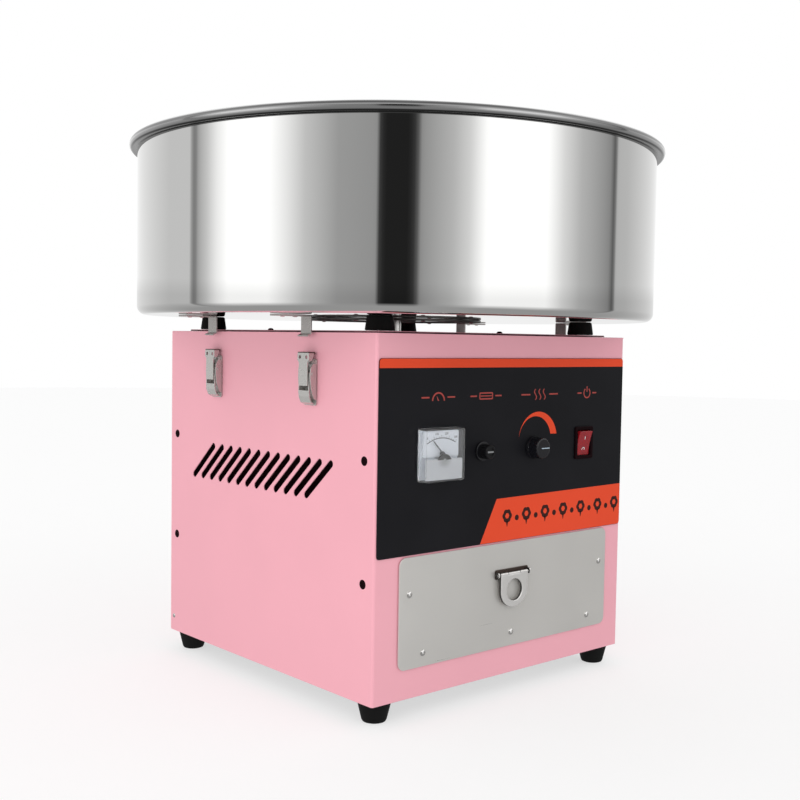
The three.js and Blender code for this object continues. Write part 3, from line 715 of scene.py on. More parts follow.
def build_rear_panel():
    low, high, center = span("rear_panel")
    gland = center_of("cord_gland")
    outline = rounded_rect(high.x - low.x, high.z - low.z, 1 * MM, (0, center.z))
    up = CABINET_LOW.z + REAR_SLOT_UP
    slots = [slot(REAR_SLOT_LENGTH, VENT_WIDTH, (i * REAR_SLOT_PITCH, up)) for i in REAR_SLOTS]
    loops = [outline] + slots + [circle(GLAND_BORE, (-gland.x, gland.z))]
    sheet = moved(prism(loops, SHEET, EDGE, base=-SHEET), facing(REAR, (0, high.y, 0)))
    inner, back = CABINET_HIGH.x - FLANGE - 0.3 * MM, high.y - 0.4 * MM
    top = [(-inner, low.y), (inner, low.y), (inner, back), (-inner, back)]
    flange = prism([fillet(top, 2 * MM)], SHEET, 0.2 * MM, base=high.z - SHEET)
    piece("rear_cover", dressed("pink", (sheet, flange)), "rear_panel")
    spots = [(sx * (high.x - REAR_SCREWS_IN), high.y, CABINET_LOW.z + up * MM)
             for sx in (-1, 1) for up in REAR_SCREWS_UP]
    screws = [head(screw, (3.1, 1.6), REAR, spot) for spot in spots]
    piece("rear_screws", dressed("bolt", screws))


def build_side_screws():
    """Dark screws near each side's corners, and a light one low at the rear."""
    dark, light = (4.0, 0.7), (2.2, 0.9)
    rows = ((14, 202, dark, "bolt"), (14, 100, dark, "bolt"), (312, 203, dark, "bolt"),
            (312, 100.5, dark, "bolt"), (317, 15, light, "rivet"))
    for name, normal in (("left", LEFT), ("right", RIGHT)):
        screws = []
        for away, up, sizes, look in rows:
            spot = (normal[0] * CABINET_HIGH.x, CABINET_LOW.y + away * MM, CABINET_LOW.z + up * MM)
            screws.append((head(screw, sizes, normal, spot), look))
        piece(f"side_screws_{name}", screws)


def build_deck():
    """The top plate on its thin dark seal, with a screw near the middle of each edge."""
    low, high, _ = span("top_deck")
    width, depth = high.x - low.x, high.y - low.y
    hole = circle(DECK_HOLE, steps=72)
    gasket = prism([rounded_rect(width, depth, 2 * MM), hole], DECK_SEAL, base=low.z)
    outline = rounded_rect(width - DECK_SEAL, depth - DECK_SEAL, 2 * MM)
    plate = prism([outline, hole], high.z - low.z - DECK_SEAL, 0.3 * MM, 2, base=low.z + DECK_SEAL)
    piece("deck_plate", [(gasket, "rubber"), (plate, "pink")], "top_deck")
    near, aside, behind = DECK_SCREWS_IN, 6 * MM, 20 * MM
    spots = [(aside, low.y + near), (0, high.y - near), (low.x + near, behind), (high.x - near, behind)]
    screws = [head(screw, (2.8, 1.9), UP, (x, y, high.z)) for x, y in spots]
    piece("deck_screws", dressed("bolt", screws))


def build_rubber():
    """Feet and bumpers: tapered rubber with a rounded rim."""
    for corner in CORNERS:
        for kind, solids in (("foot", foot_solids), ("bumper", bumper_solids)):
            low, high, center = span(f"{kind}_{corner}")
            parts = solids((high.x - low.x) / 2, high.z - low.z)
            place = shift((center.x, center.y, low.z))
            piece(f"{kind}_{corner}_rubber", parts, f"{kind}_{corner}", place=place)


def foot_solids(wide, tall):
    """A foot with a recessed screw under it."""
    profile = mm([(0, 6), (4, 6), (4.6, 5.4), (5, 0.6), (5.6, 0), (8.6, 0), (9.9, 0.5), (10.8, 2.0)])
    profile += mm([(-0.1, -1), (-0.6, 0)], (wide, tall)) + [(0, tall)]
    return [(lathe(profile, 56), "rubber"), (head(screw, (3.4, 1.6), DOWN, (0, 0, 6 * MM)), "zinc")]


def bumper_solids(wide, tall):
    narrow = wide - 1.6 * MM
    profile = [(0, 0)] + mm([(-0.8, 0), (0, 0.8), (-0.2, 2)], (wide, 0))
    profile += mm([(0.1, -1.4), (-0.6, -0.3), (-1.6, 0)], (narrow, tall))
    profile += mm([(3.4, 0), (3, -2), (0, -2)], (0, tall))
    return [(lathe(profile, 56), "rubber")]


def build_gland():
    """The cord's inlet: a ribbed dome nut on a threaded body, open through its middle."""
    _, high, center = span("cord_gland")
    out = high.y - REAR_Y
    body = mm([(4, -12), (7.4, -12), (7.9, -11.5), (7.9, 0.3), (10.6, 0.3), (10.9, 0.8), (10.2, 3.6),
               (9.2, 4.4), (8.8, 7)])
    body += mm([(7, -0.8), (6, 0), (4, 0)], (0, out))
    turned_body = lathe(body, 96, 12, 0.6 * MM, (0.6 * MM, 4 * MM))
    piece("inlet_gland", [(turned_body, "plastic")], "cord_gland",
          place=facing(REAR, (center.x, REAR_Y, center.z)))


# Control panel

def panel_point(right, up):
    """A place on the front, in millimetres from the cabinet's left and lower edges, as X and Z."""
    return CABINET_LOW.x + right * MM, CABINET_LOW.z + up * MM


def build_panel():
    width, height = PANEL_HIGH.x - PANEL_LOW.x, PANEL_HIGH.z - PANEL_LOW.z
    outline = rounded_rect(width, height, 3 * MM, (0, (PANEL_LOW.z + PANEL_HIGH.z) / 2))
    thickness = PANEL_HIGH.y - PANEL_LOW.y
    film = prism([outline] + control_holes(), thickness, 0.15 * MM, base=-thickness)
    print_piece("panel_film", [(film, "film")], "control_panel")


def print_piece(name, parts, stands_for=None):
    """A piece drawn in X and Z on the panel's face."""
    piece(name, parts, stands_for, place=facing(FRONT, (0, PANEL_LOW.y, 0)))


PRINT_MARGIN = 0.3 * MM
PRINT_CORNER = 2.7 * MM


def stripe_outline():
    low, high = PANEL_HIGH.z - 8 * MM, PANEL_HIGH.z - PRINT_MARGIN
    left, right = PANEL_LOW.x + PRINT_MARGIN, PANEL_HIGH.x - PRINT_MARGIN
    return fillet([(left, low), (right, low), (right, high), (left, high)],
                  [0, 0, PRINT_CORNER, PRINT_CORNER])


def badge_outline():
    top_left, bottom_left = panel_point(141.5, 161), panel_point(121.3, 122)
    right, low = PANEL_HIGH.x - PRINT_MARGIN, PANEL_LOW.z + PRINT_MARGIN
    corners = [(bottom_left[0], low), (right, low), (right, top_left[1] + 1.5 * MM), top_left]
    return fillet(corners, [0, PRINT_CORNER, 0, 0])


def crescent_outline():
    """The tapered arc over the knob, between two circles that meet at its thin left end."""
    outer = arc(26.1 * MM, 11, 172, panel_point(194.6, 211.4), 40)
    return outer + arc(21.9 * MM, 171, 13, panel_point(190.5, 211.6), 40)


def build_panel_print():
    outlines = {"stripe": stripe_outline(), "badge": badge_outline(), "arc": crescent_outline()}
    for name, outline in outlines.items():
        print_piece(f"print_{name}", [(ink([outline]), "orange")])
    marks = [ink(loops, PRINT) for loops in badge_row()]
    print_piece("print_badge_row", dressed("ink", marks))
    marks = [ink(loops) for loops in pictograms()]
    print_piece("print_pictograms", dressed("label", marks))


def puff(center, radius, lobes=6):
    """A scalloped cloud of spun sugar."""
    return [polar(radius * (0.86 + 0.14 * abs(cos(lobes * angle / 2))), angle, center)
            for angle in around(12 * lobes)]


def badge_row():
    """A row of clouds on sticks and dots, in place of lettering."""
    first, pitch, middle, count = 155.5, 12.8, 142, 13
    size = 6.2 * MM
    for i in range(count):
        x, z = panel_point(first + i * pitch, middle)
        if i % 2:
            yield [circle(2.6 * MM, (x, z), 24)]
            continue
        cloud = (x, z + 2.6 * MM)
        yield [puff(cloud, size), puff(cloud, size * 0.42)]
        yield [fillet(mm([(-1.5, -2.4), (1.5, -2.4), (0, -8.2)], (x, z)), 0.3 * MM)]


def pictograms():
    """A small picture over each control: a gauge, a fuse, rising heat and a power mark."""
    up = 253.5
    return gauge_mark(68, up) + fuse_mark(125.5, up) + heat_mark(196, up) + power_mark(263.5, up)


def side_dashes(right, up, reach, length):
    """Short strokes to the left and right of a picture."""
    return [[bar(panel_point(right + side * reach, up), length * MM, 1.3 * MM)] for side in (-1, 1)]


def gauge_mark(right, up):
    x, z = panel_point(right, up - 3)
    band = arc(7.5 * MM, 0, 180, (x, z), 24) + arc(6.1 * MM, 180, 0, (x, z), 24)
    hand = mm([(-0.8, 0), (0.8, 0), (-2.6, 5.2)], (x, z))
    return [[band], [fillet(hand, 0.2 * MM)]] + side_dashes(right, up, 15, 9)


def fuse_mark(right, up):
    center = panel_point(right, up)
    case = [bar(center, 17 * MM, 6.4 * MM, 1.2 * MM), bar(center, 14.6 * MM, 4 * MM, 0.6 * MM)]
    return [case, [bar(center, 14 * MM, 0.9 * MM)]] + side_dashes(right, up, 15.5, 8)


def heat_mark(right, up):
    waves = []
    for middle in (-6, 0, 6):
        edge = []
        for side in (-1, 1):
            for t in [i / 16 for i in range(17)][::-side]:
                sway = 1.4 * sin(2 * pi * t) + side * 0.65
                edge.append(panel_point(right + middle + sway, up - 5 + 10 * t))
        waves.append([edge])
    return waves + side_dashes(right, up, 19, 12)


def power_mark(right, up):
    x, z = panel_point(right, up)
    ring = arc(5.2 * MM, 125, 415, (x, z), 32) + arc(3.9 * MM, 415, 125, (x, z), 32)
    return [[ring], [bar((x, z + 3.6 * MM), 1.3 * MM, 5.4 * MM)]] + side_dashes(right, up, 11, 6)


# Voltmeter

COVER_WALL = 1.5 * MM
SCALE_OUTER, SCALE_INNER = 33.6 * MM, 32.9 * MM
SCALE_DOWN = -20.2 * MM  # the scale's centre, below the dial's middle
SCALE_START, SCALE_SWEEP = 119, 58  # degrees
NUMERAL_RADIUS = 37.2 * MM


def build_meter():
    low, high, center = span("voltmeter_cover")
    place = facing(FRONT, (center.x, MOUNT_Y, center.z))
    size, depth = high.x - low.x, high.y - low.y
    levels = [(COVER_WALL, depth - COVER_WALL), (COVER_WALL, 0), (0, 0)]
    levels += mm([(0, -1), (0.3, -0.3), (1, 0)], (0, depth))
    cover = stacked(size, size, 2 * MM, levels)
    piece("meter_cover", [(cover, "clear")], "voltmeter_cover", place=place)
    build_dial(center)
    build_lower_plate(depth - COVER_WALL, place)


def build_dial(center):
    low, high, dial = span("voltmeter_dial")
    lift = 1 * MM
    face = facing(FRONT, (center.x, low.y, center.z + lift))
    plate = rounded_rect(high.x - low.x, high.z - low.z, 1 * MM, (0, dial.z - center.z - lift))
    thickness = high.y - low.y
    card = prism([plate, circle(1.6 * MM)], thickness, 0.15 * MM, base=-thickness)
    piece("meter_dial", [(card, "dial")], "voltmeter_dial", place=face)
    middle, end = (0, SCALE_DOWN), SCALE_START - SCALE_SWEEP
    band = arc(SCALE_OUTER, end, SCALE_START, middle, 40) + arc(SCALE_INNER, SCALE_START, end, middle, 40)
    marks = [ink([band])]
    for i in range(13):
        length = (2.2 if i % 3 == 0 else 1.2) * MM
        marks.append(moved(tick(length, SCALE_START - i * SCALE_SWEEP / 12), shift((*middle, 0))))
    for i, text in enumerate(("0", "100", "200", "300")):
        angle = radians(SCALE_START - 3 - i * (SCALE_SWEEP - 6) / 3)
        marks.append(numerals(text, 2.8 * MM, polar(NUMERAL_RADIUS, angle, middle)))
    piece("meter_scale", dressed("scale", marks), place=face)


def tick(length, angle):
    half = 0.16 * MM
    line = [(0, -half), (length, -half), (length, half), (0, half)]
    return moved(ink([line]), turned(radians(angle), "Z") @ shift((SCALE_OUTER, 0, 0)))


def build_lower_plate(depth, place):
    """The milky plate over the movement, and the dark dome that the needle comes out of."""
    low, top = -20.7 * MM, -3.3 * MM
    plate = rounded_rect(41 * MM, top - low, 0.8 * MM, (0, (low + top) / 2))
    milky = prism([plate], 1.2 * MM, 0.2 * MM, 2, base=depth - 1.7 * MM)
    piece("meter_lower_plate", [(milky, "frost")], place=place)
    dome = arc(8.6 * MM, 25, 155, (0, top - 4.4 * MM), 24)
    block = prism([dome], 1.4 * MM, 0.3 * MM, 2, base=depth - 1.6 * MM)
    hub = head(rivet, (2.2, 0.6, 0.5), UP, (0, top - 1.2 * MM, depth - 0.6 * MM))
    piece("meter_hub", [(block, "plastic"), (hub, "zinc")], place=place)


# Fuse, knob and switch

def mounted(name):
    """The place in front of a control's middle, on the face that the controls stand on."""
    center = center_of(name)
    return facing(FRONT, (center.x, MOUNT_Y, center.z))


def build_fuse():
    place = mounted("fuse_holder")
    body = mm([(4.5, 2), (8.0, 2), (8.4, 1.7), (8.5, 1.2), (8.5, 0), (6, 0), (6, -33.5), (5.5, -34),
               (0, -34), (0, -32), (4.5, -32)])
    piece("fuse_socket", [(lathe(body, 56), "gloss")], "fuse_holder", place=place)
    profile = mm([(0, -4), (4, -4), (4, 2.3), (6.5, 2.3), (6.6, 2.8), (6.3, 9.4), (6.0, 10.4), (5.4, 11),
                  (3.9, 11), (3.8, 10.2), (0, 10.2)])
    cap = lathe(profile, 96, 16, 0.45 * MM, (2.5 * MM, 9.8 * MM))
    grip = prism([bar((0, 0), 7.4 * MM, 1.6 * MM)], 0.8 * MM, 0.15 * MM, base=10 * MM)
    piece("fuse_cap_turned", [(cap, "plastic"), (grip, "zinc")], "fuse_cap", "fuse", place)


def build_knob():
    profile = mm([(3.3, 0.4), (10.2, 0.4), (10.5, 0.8), (10.4, 1.6), (9.9, 3), (9.8, 3.6), (9.4, 11.4),
                  (9.1, 12.3), (8.4, 12.9), (7.6, 13), (0, 12.7), (0, 10), (3.3, 10)])
    grip = lathe(profile, 144, 18, 0.35 * MM, (3.4 * MM, 11.6 * MM))
    # the bluish pointer bar is sized and coloured as a painted highlight line across the knob
    line = bar((2.6 * MM, 0), 10.4 * MM, 0.9 * MM, 0.4 * MM)
    pointer = prism([line], 0.9 * MM, 0.2 * MM, 2, base=12.4 * MM)
    piece("heat_knob", [(grip, "gloss"), (pointer, "pointer")], "control_knob", "knob",
          mounted("control_knob"))


def build_switch():
    """A raised bezel round a deep well, with the key in it."""
    low, high, center = span("switch_body")
    width, height = high.x - low.x, high.z - low.z
    rim = mm([(0, 0), (0, 1.1), (0.5, 1.6), (3, 1.6), (3.5, 1.1), (3.5, 0)])
    bezel = stacked(width, height, 2 * MM, rim, closed=True)
    box = mm([(0, -19.5), (0, 0), (1.4, 0), (1.4, -12)])
    well = stacked(width - 4 * MM, height - 4 * MM, 1 * MM, box)
    piece("switch_housing", [(bezel, "bolt"), (well, "plastic")], "switch_body",
          place=mounted("switch_body"))
    build_rocker(center)


def build_rocker(center):
    """The red key, dished across its face, with a bar on its upper half and a ring on its lower one."""
    face = [(-(2.4 + 1.0 * (z / 12) ** 2) * MM, z * MM) for z in range(-12, 13)]
    section = face + mm([(1.5, 11.6), (4, 6), (4, -6), (1.5, -11.6)])
    parts = [(across("x", fillet(section, 0.5 * MM, 3), 18 * MM, 0.5 * MM, 3), "red")]
    ring = [circle(radius * MM, steps=32) for radius in (2.1, 1.5)]
    stroke = [bar((0, 0), 0.8 * MM, 4.2 * MM)]
    lean = radians(4.6)
    for side, loops in ((-1, ring), (1, stroke)):
        spot = shift((0, -2.68 * MM, side * 6 * MM)) @ turned(-side * lean, "X") @ facing(FRONT)
        parts.append((moved(prism(loops, 2 * PRINT), spot), "mark"))
    tilt = shift((center.x, MOUNT_Y + 1.4 * MM, center.z)) @ turned(radians(12), "X")
    piece("switch_key", parts, "switch_rocker", "rocker", tilt)


# Drawer

def build_drawer():
    low, high, center = span("drawer_front")
    outline = rounded_rect(high.x - low.x, high.z - low.z, 7 * MM, (center.x, center.z), steps=10)
    thickness = high.y - low.y
    plate = prism([outline], thickness, 0.3 * MM, 2, base=-thickness)
    piece("drawer_plate", [(plate, "drawer")], "drawer_front", "drawer",
          facing(FRONT, (0, low.y, 0)))
    rivets = []
    for spot in ((37.8, 89.2), (54, 37.4), (162.5, 38.1), (269.5, 37.7), (286, 88.5)):
        x, z = panel_point(*spot)
        rivets.append(head(rivet, (3.0, 1.8, 0.8), FRONT, (x, low.y, z)))
    piece("drawer_rivets", dressed("rivet", rivets), body="drawer")
    build_tray()


def build_tray():
    """A folded tray with rounded corners and a rolled lip."""
    low, high, center = span("drawer_tray")
    top = (0, high.z - low.z)
    levels = mm([(1.2, 0), (0.3, 0.3), (0, 1.2)]) + mm([(0, -0.4), (0.3, 0), (0.9, 0), (1.2, -0.4)], top)
    levels += mm([(1.2, 2.2), (2.2, 1.2)])
    tray = stacked(high.x - low.x, high.y - low.y, 3 * MM, levels)
    piece("drawer_box", [(tray, "drawer")], "drawer_tray", "drawer",
          shift((center.x, center.y, low.z)))


def build_handle():
    """The bracket with its two ears and pin, and the hinged ring that hangs from it."""
    low, high, center = span("handle_bracket")
    lowest, highest, _ = span("handle_ring")
    pin = Vector((center.x, high.y - 2.7 * MM, highest.z - 1.9 * MM))
    back = prism([rounded_rect(high.x - low.x, 8.5 * MM, 1.5 * MM, (0, 0.25 * MM))], 0.6 * MM, 0.15 * MM)
    plate = moved(back, facing(FRONT, (pin.x, high.y, pin.z)))
    ear = fillet(mm([(2.4, -2.6), (-1.0, -2.4), (-2.1, -1.2), (-2.1, 1.2), (-1.0, 2.4), (2.4, 3)]), 0.8 * MM)
    solids = []
    for side in (-1, 1):
        ear_place = shift((pin.x + side * 20.4 * MM, pin.y, pin.z))
        solids.append(moved(across("x", ear, 1.6 * MM, 0.3 * MM), ear_place))
        solids.append(head(rivet, (1.5, 0.6), (side, 0, 0), (pin.x + side * 21.2 * MM, pin.y, pin.z)))
    solids.append(rod(0.85 * MM, 41 * MM, "x", pin))
    # The bracket's plate takes the dark hood look as a painted shadow above the ring.
    piece("handle_mount", [(plate, "hood")] + dressed("pull", solids), "handle_bracket",
          "drawer")
    build_ring(pin, lowest.z - pin.z)


def build_ring(pin, lowest):
    outer, drop, hole, thickness = 17.8 * MM, 15.9 * MM, 9.8 * MM, 3.2 * MM
    middle = lowest + drop
    curve = arc(outer, 180, 360, steps=48)[1:-1]
    outline = [(-outer, 0), (-outer, middle)] + [(x, middle + z * drop / outer) for x, z in curve]
    outline += [(outer, middle), (outer, 0)]
    tab = prism([outline, circle(hole, (0, middle), 56)], thickness, 1.1 * MM, 4, base=-1.2 * MM)
    solids = [moved(tab, facing(FRONT, pin))]
    for x, radius, length in ((-12.9, 1.9, 9.8), (12.9, 1.9, 9.8), (0, 1.7, 15.6)):
        solids.append(rod(radius * MM, length * MM, "x", pin + Vector((x * MM, 0, 0)), 0.4 * MM))
    piece("handle_pull", dressed("pull", solids), "handle_ring", "handle")


# Latches. Sections are drawn outward from the wall and upward from the latch's foot, in millimetres.

PIVOT = (5, 27)
LINK = (5.5, 19)


def at(spot):
    return spot[0] * MM, 0, spot[1] * MM


def section(outline, width, round_by, bevel=0.2):
    return across("y", fillet(mm(outline), round_by * MM), width * MM, bevel * MM)


def cheeks(outline, inner, outer, round_by):
    """The same flat cheek on both sides of a latch's middle."""
    away = (inner + outer) / 2 * MM
    return [moved(section(outline, outer - inner, round_by, 0.15), shift((0, y, 0))) for y in (-away, away)]


def latch_base():
    plate = prism([rounded_rect(17.8 * MM, 40 * MM, 2 * MM, (0, 20 * MM))], 1.2 * MM, 0.2 * MM, 2)
    back = moved(plate, facing(RIGHT, (0.3 * MM, 0, 0)))
    sides = cheeks([(0.9, 4), (4, 6), (7, 14), (7.9, 24), (7.6, 32), (5, 36), (0.9, 36)], 7.9, 8.9, 1.5)
    heads = [head(rivet, (2, 0.7, 0.6), RIGHT, at((1.5, z))) for z in (3.4, 37)]
    x, _, z = at(PIVOT)
    heads += [head(rivet, (1.9, 0.5), (0, side, 0), (x, side * 8.9 * MM, z)) for side in (-1, 1)]
    return [back] + sides + heads + [rod(1.5 * MM, 17.2 * MM, "y", at(PIVOT))]


def latch_lever():
    arms = cheeks([(3, 14), (8.4, 9), (8.4, 13), (7.8, 28), (5, 30), (2.4, 28), (2.4, 18)], 6.6, 7.6, 1.2)
    tail = [(7.4, 13), (7.2, 8), (5.4, 3.4), (2.6, 1.6), (3, 0.6), (6, 2.4), (8.2, 7.6), (8.4, 13)]
    return arms + [section(tail, 15.2, 1.2, 0.3), rod(1.2 * MM, 13.6 * MM, "y", at(LINK))]


def latch_claw():
    """A long face plate with two holes near its top."""
    plate = [(-6.2, 16.8), (6.2, 16.8), (6.2, 37), (8.2, 39), (8.2, 45.2), (-8.2, 45.2), (-8.2, 39),
             (-6.2, 37)]
    holes = [circle(1.5 * MM, (y * MM, 41.5 * MM), 24) for y in (-4.6, 4.6)]
    loops = [fillet(mm(plate), 0.9 * MM)] + holes
    face = moved(prism(loops, 1 * MM, 0.2 * MM, 2), facing(RIGHT, (8.3 * MM, 0, 0)))
    neck = section([(4.4, 17.0), (8.7, 17.2), (8.7, 20.2), (4.8, 21.4)], 12.4, 0.5)
    knuckle = rod(2.7 * MM, 12.4 * MM, "y", at(LINK), 0.3 * MM)
    sides = cheeks([(5.6, 38.6), (8.6, 38), (8.8, 45.2), (3.4, 45.2)], 7.2, 8.2, 0.6)
    return [face, neck, knuckle] + sides


def latch_hood():
    """The hook over the claw's top, which takes hold of the pan."""
    hook = [(9.2, 44.6), (9.0, 45.6), (8.4, 46), (2.6, 46), (2.6, 43.6), (3.8, 43.6), (3.8, 44.8),
            (8.2, 44.8)]
    return section(hook, 16.4, 0.4)


def build_latches():
    for corner, (sx, _) in CORNERS.items():
        low, _, center = span(f"latch_base_{corner}")
        place = on_side(sx, (sx * CABINET_HIGH.x, center.y, low.z))
        kinds = {
            "base": ("cabinet", dressed("latch", latch_base())),
            "lever": (f"lever_{corner}", dressed("latch", latch_lever())),
            # the hook over the claw takes the dark hood look as a painted reflection of the pan's underside
            "claw": (f"claw_{corner}", dressed("latch", latch_claw()) + [(latch_hood(), "hood")]),
        }
        for kind, (body, parts) in kinds.items():
            piece(f"draw_{kind}_{corner}", parts, f"latch_{kind}_{corner}", body, place)


# Pan

PAN_HOLE = 80 * MM
PAN_FOOT = 8 * MM  # radius of the bend between the floor and the wall
PAN_BEAD = 4.4 * MM  # radius of the rolled rim
PAN_COLLAR = 14 * MM


def build_pan():
    """The spun bowl: flat floor, rounded foot, straight wall and rolled rim, with a collar at its hole."""
    rim, low, high = PAN_HIGH.x, PAN_LOW.z, PAN_HIGH.z
    wall = rim - 7.4 * MM
    foot = (wall - PAN_FOOT, low + PAN_FOOT)
    top = high - 2 * PAN_BEAD
    inner, collar = PAN_HOLE + SHEET, low + PAN_COLLAR
    profile = [(PAN_HOLE + 1.5 * MM, low)] + arc(PAN_FOOT, -90, 0, foot, 14)
    profile += [(wall, top), (wall - SHEET, top)] + arc(PAN_FOOT - SHEET, 0, -90, foot, 12)
    profile += mm([(1, 0), (0, 1)], (inner, low + SHEET)) + [(inner, collar), (PAN_HOLE, collar)]
    profile += mm([(0, 1.5), (0.4, 0.4)], (PAN_HOLE, low))
    edge = [(wall - SHEET, top), (wall, top), (wall + 0.5 * MM, top + 0.7 * MM)]
    edge += arc(PAN_BEAD, -70, 180, (rim - PAN_BEAD, high - PAN_BEAD), 30)
    parts = [(lathe(profile, 256), "pan"), (lathe(edge, 256), "pan_edge")]
    piece("pan_bowl", parts, "pan", "pan")


def build_hub_ring():
    low, high, _ = span("pan_hub_ring")
    loops = [circle(radius, steps=144) for radius in (high.x, 78.5 * MM)]
    parts = [(prism(loops, high.z - low.z, 0.5 * MM, 3, base=low.z), "pan_hub")]
    for angle in around(8, 0.5):
        parts.append((head(rivet, (2.2, 0.8), DOWN, (*polar(82.2 * MM, angle), low.z)), "rivet"))
    piece("hub_ring", parts, "pan_hub_ring", "pan")


def build_hooks():
    """A strip riveted under the pan, bent down past the cabinet's side and out into a lip."""
    outline = fillet(mm([
        (0, 0), (34, 0), (34, -1.5), (1.5, -1.5), (1.5, -16), (5.5, -17.5), (4.5, -18.7), (0, -16.7),
    ]), [radius * MM for radius in (1.4, 0.3, 0.3, 0.8, 0.8, 0.3, 0.3, 1.4)])
    for corner, (sx, _) in CORNERS.items():
        low, high, center = span(f"pan_hook_{corner}")
        parts = [(across("y", outline, 14 * MM, 0.25 * MM), "pressed")]
        parts += dressed("rivet", [head(rivet, (2.3, 0.9), DOWN, at((x, -1.5))) for x in (13, 26)])
        place = on_side(sx, (low.x if sx > 0 else high.x, center.y, high.z))
        piece(f"hook_{corner}", parts, f"pan_hook_{corner}", "pan", place)


# Spinner head

SLOT_COUNT = 120
RIBBON_WAVES, WAVE_STEPS = 44, 12
BRIM = 405.3 * MM  # height of the lid's outer edge


def build_dish():
    base = mm([(6.3, 343), (15.4, 343), (16, 343.6), (18, 352), (19, 353), (68, 353), (71.4, 354.2),
               (72, 355.6), (72, 358.7), (67, 358.7), (66, 357), (18, 357), (6.3, 361)])
    piece("spinner_dish", [(lathe(base, 96), "aluminium")], "spinner_base", "spinner")


def build_band():
    """The head's wall: a strip with fine slots, rolled into a ring."""
    low, high, center = span("spinner_band")
    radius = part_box("spinner_base")[1].x
    pitch = 2 * pi * radius / SLOT_COUNT
    places = range(SLOT_COUNT + 1)
    outline = [(i * pitch, low.z) for i in places] + [(i * pitch, high.z) for i in reversed(places)]
    slots = [slot(high.z - low.z - 12 * MM, 1.3 * MM, ((i + 0.5) * pitch, center.z))
             for i in range(SLOT_COUNT)]
    strip = prism([outline] + slots, SHEET, base=-SHEET)
    for vertex in strip.verts:
        along, up, out = vertex.co
        vertex.co = (*polar(radius + out, along / radius), up)
    piece("spinner_wall", [(sealed(strip, 1e-6), "aluminium")], "spinner_band", "spinner")


def build_element():
    """The heating ribbon, bent to and fro behind the slots."""
    low, high, center = span("heating_element")
    radius, swing = high.x - 1.5 * MM, (high.z - low.z) / 2 - 1 * MM
    points = [(*polar(radius, angle), center.z + swing * sin(RIBBON_WAVES * angle))
              for angle in around(RIBBON_WAVES * WAVE_STEPS)]
    piece("heating_ribbon", [(hoop(points, 0.9 * MM), "element")], "heating_element", "spinner")


def build_cap():
    """The head's lid with its sugar cup, held by three screws."""
    low, high, _ = span("spinner_cap")
    cup, top = (0, low.z), (0, high.z)
    profile = mm([(6.3, 0), (27.2, 0), (28, 0.8)], cup) + mm([(28, -2), (40, -2)], top)
    profile += mm([(68, 0), (71.6, 0), (72, 0.6), (71.8, 3.2), (70.6, 4)], (0, BRIM))
    profile += mm([(42, -0.4), (40, 0), (27, 0), (26.2, -0.6), (26, -1.6)], top)
    profile += mm([(26, 3.4), (24.6, 2), (6.3, 2)], cup)
    screws = [head(screw, (2.8, 1.4), UP, (*polar(34 * MM, angle), high.z)) for angle in around(3, 0.25)]
    parts = [(lathe(profile, 96), "aluminium")] + dressed("zinc", screws)
    piece("spinner_lid", parts, "spinner_cap", "spinner")


# Carried-over CAD parts

def dress_frame():
    """Finishes for the CAD parts that stay: the plate, runners, drive and what is behind the panel."""
    nodes = {
        "zinc": ("base_plate", "heat_control", "drawer_runner_left", "drawer_runner_right", "motor_body",
                 "motor_bracket"),
        "dial": ("voltmeter_case",), "scale": ("voltmeter_needle",), "glass": ("fuse_cartridge",),
        "aluminium": ("control_shaft",), "rivet": ("motor_shaft",), "copper": ("slip_ring_hub",),
        "plastic": ("cooling_fan", "brush_holder"),
    }
    for look, names in nodes.items():
        for name in names:
            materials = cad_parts[name].data.materials
            materials.clear()
            materials.append(LOOK[look])


# Studio

CAMERA_PLACE = Vector((-0.7440, -0.8544, 0.3196))
CAMERA_TURN = 41.3615  # degrees clockwise from +Y
CAMERA_PITCH = 3.0656  # degrees below level
CAMERA_ROLL = 0.8982
CAMERA_LENS = 50.64
SENSOR = 36

# Brightness round the horizon, by degrees from the camera's side: two large soft boxes and a dark gap.
BANDS = (
    (-180, 0.95), (-112, 0.5), (-97, 0.5), (-95, 0.19), (-93, 0.19), (-91, 0.36),
    (-86, 0.52), (-80, 0.8), (-74, 1), (-54, 1), (-46, 0.761), (-38, 0.504), (-24, 0.301),
    (-8.5, 0.266), (-7, 0.035), (-5, 0.013), (5, 0.013), (8, 0.044), (10, 0.266), (23, 0.434), (30, 0.619),
    (37, 1), (65, 1), (73.5, 0.646), (83, 0.425), (98, 0.27), (102, 0.22), (103.5, 0.1),
    (105, 0.1), (107, 0.42), (115, 0.44), (180, 0.95),
)
# Strengths of the sky's parts, and between which heights they change, as sines of the angle above level
BAND_GAIN = 1.18
LEVEL_GAIN = 0.84 * BAND_GAIN  # near the horizon itself
OVERHEAD = 1.25
ZENITH = 0.5  # darker straight above, so that level metal keeps its shape
UNDERFOOT = 0.32  # what polished metal sees in place of the floor
FLOOR_FADE, LEVEL_FADE, BAND_TOP, ZENITH_FADE = (-0.60, 0.0), (0.036, 0.050), (0.26, 0.5), (0.72, 0.92)

FILL_PLACE = Vector((-1.7, -0.85, 0.30))
FILL_SIZE = (1.6, 0.7)
FILL_POWER = 10.0

FLOOR_RADIUS = 6.0
FLOOR_DEPTH = 0.01


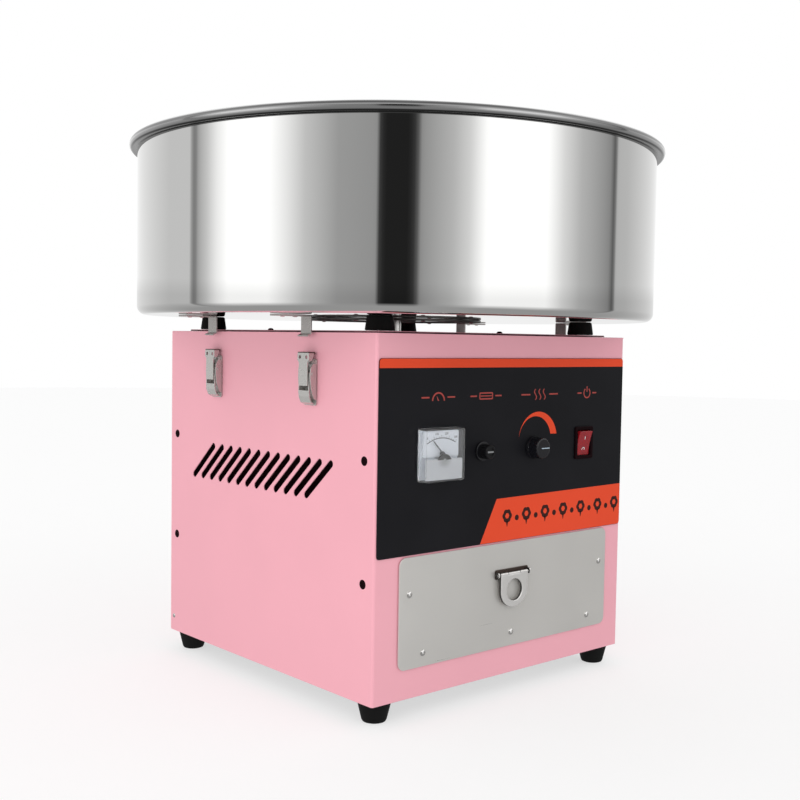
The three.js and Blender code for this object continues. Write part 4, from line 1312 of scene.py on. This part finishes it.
def build_world():
    """Soft boxes round the horizon, an even light overhead, and a white backdrop for the camera."""
    world = bpy.data.worlds.new("studio")
    bpy.context.scene.world = world
    world.use_nodes = True
    tree = world.node_tree

    def light(color, strength):
        return node(tree, "Background", Color=color, Strength=strength)

    away = atan2(CAMERA_PLACE.y, CAMERA_PLACE.x)
    axes = axes_of(tree, node(tree, "Mapping", coordinates(tree, "Generated"), Rotation=(0, 0, -away)))
    angle = node(tree, "Math", axes["Y"], axes["X"], operation="ARCTAN2")
    stops = [((direction + 180) / 360, level) for direction, level in BANDS]
    ramp = tones(tree, remap(tree, angle, 0, 1, -pi, pi), stops)
    up = axes["Z"]
    bands = light(ramp, remap(tree, up, LEVEL_GAIN, BAND_GAIN, *LEVEL_FADE))
    overhead = light(WHITE, remap(tree, up, OVERHEAD, ZENITH, *ZENITH_FADE))
    sky = node(tree, "MixShader", remap(tree, up, 0, 1, *FLOOR_FADE), light(WHITE, UNDERFOOT), bands)
    sky = node(tree, "MixShader", remap(tree, up, 0, 1, *BAND_TOP), sky, overhead)
    seen = node(tree, "LightPath").outputs["Is Camera Ray"]
    sky = node(tree, "MixShader", seen, sky, light(WHITE, 1.0))
    plug(tree, tree.nodes["World Output"].inputs["Surface"], sky)


def build_floor():
    mesh = bpy.data.meshes.new("floor")
    bm = prism([circle(FLOOR_RADIUS, steps=64)], FLOOR_DEPTH, base=-FLOOR_DEPTH)
    bm.to_mesh(mesh)
    bm.free()
    floor = new_object("floor", mesh)
    mesh.materials.append(surface("pale_floor", (0.42, 0.42, 0.42), 0.9, spread=0.004, grain=40, bump=0.0,
                                  Specular_IOR_Level=0.0, Emission_Color=WHITE, Emission_Strength=0.58))
    floor.visible_glossy = False


def build_fill():
    """A soft box low on the left, which reaches the cabinet under the pan's overhang."""
    data = bpy.data.lights.new("fill", "AREA")
    data.shape = "RECTANGLE"
    data.size, data.size_y = FILL_SIZE
    data.energy = FILL_POWER
    light = new_object("fill", data)
    aim = Vector((0, 0, FILL_PLACE.z)) - FILL_PLACE
    light.matrix_world = shift(FILL_PLACE) @ aim.to_track_quat("-Z", "Y").to_matrix().to_4x4()
    light.visible_glossy = False


def build_camera():
    data = bpy.data.cameras.new("camera")
    data.lens = CAMERA_LENS
    data.sensor_width = SENSOR
    camera = new_object("camera", data)
    turn, roll = turned(-radians(CAMERA_TURN), "Z"), turned(radians(CAMERA_ROLL), "Z")
    camera.matrix_world = shift(CAMERA_PLACE) @ turn @ turned(pi / 2 - radians(CAMERA_PITCH), "X") @ roll
    bpy.context.scene.camera = camera


bpy.context.scene.view_settings.view_transform = "Standard"
for build in (
        build_camera, build_world, build_fill, build_floor, build_wrap, build_rear_panel, build_side_screws,
        build_deck, build_rubber, build_gland, build_panel, build_panel_print, build_meter, build_fuse,
        build_knob, build_switch, build_drawer, build_handle, build_latches, build_pan, build_hub_ring,
        build_hooks, build_dish, build_band, build_element, build_cap, dress_frame):
    build()
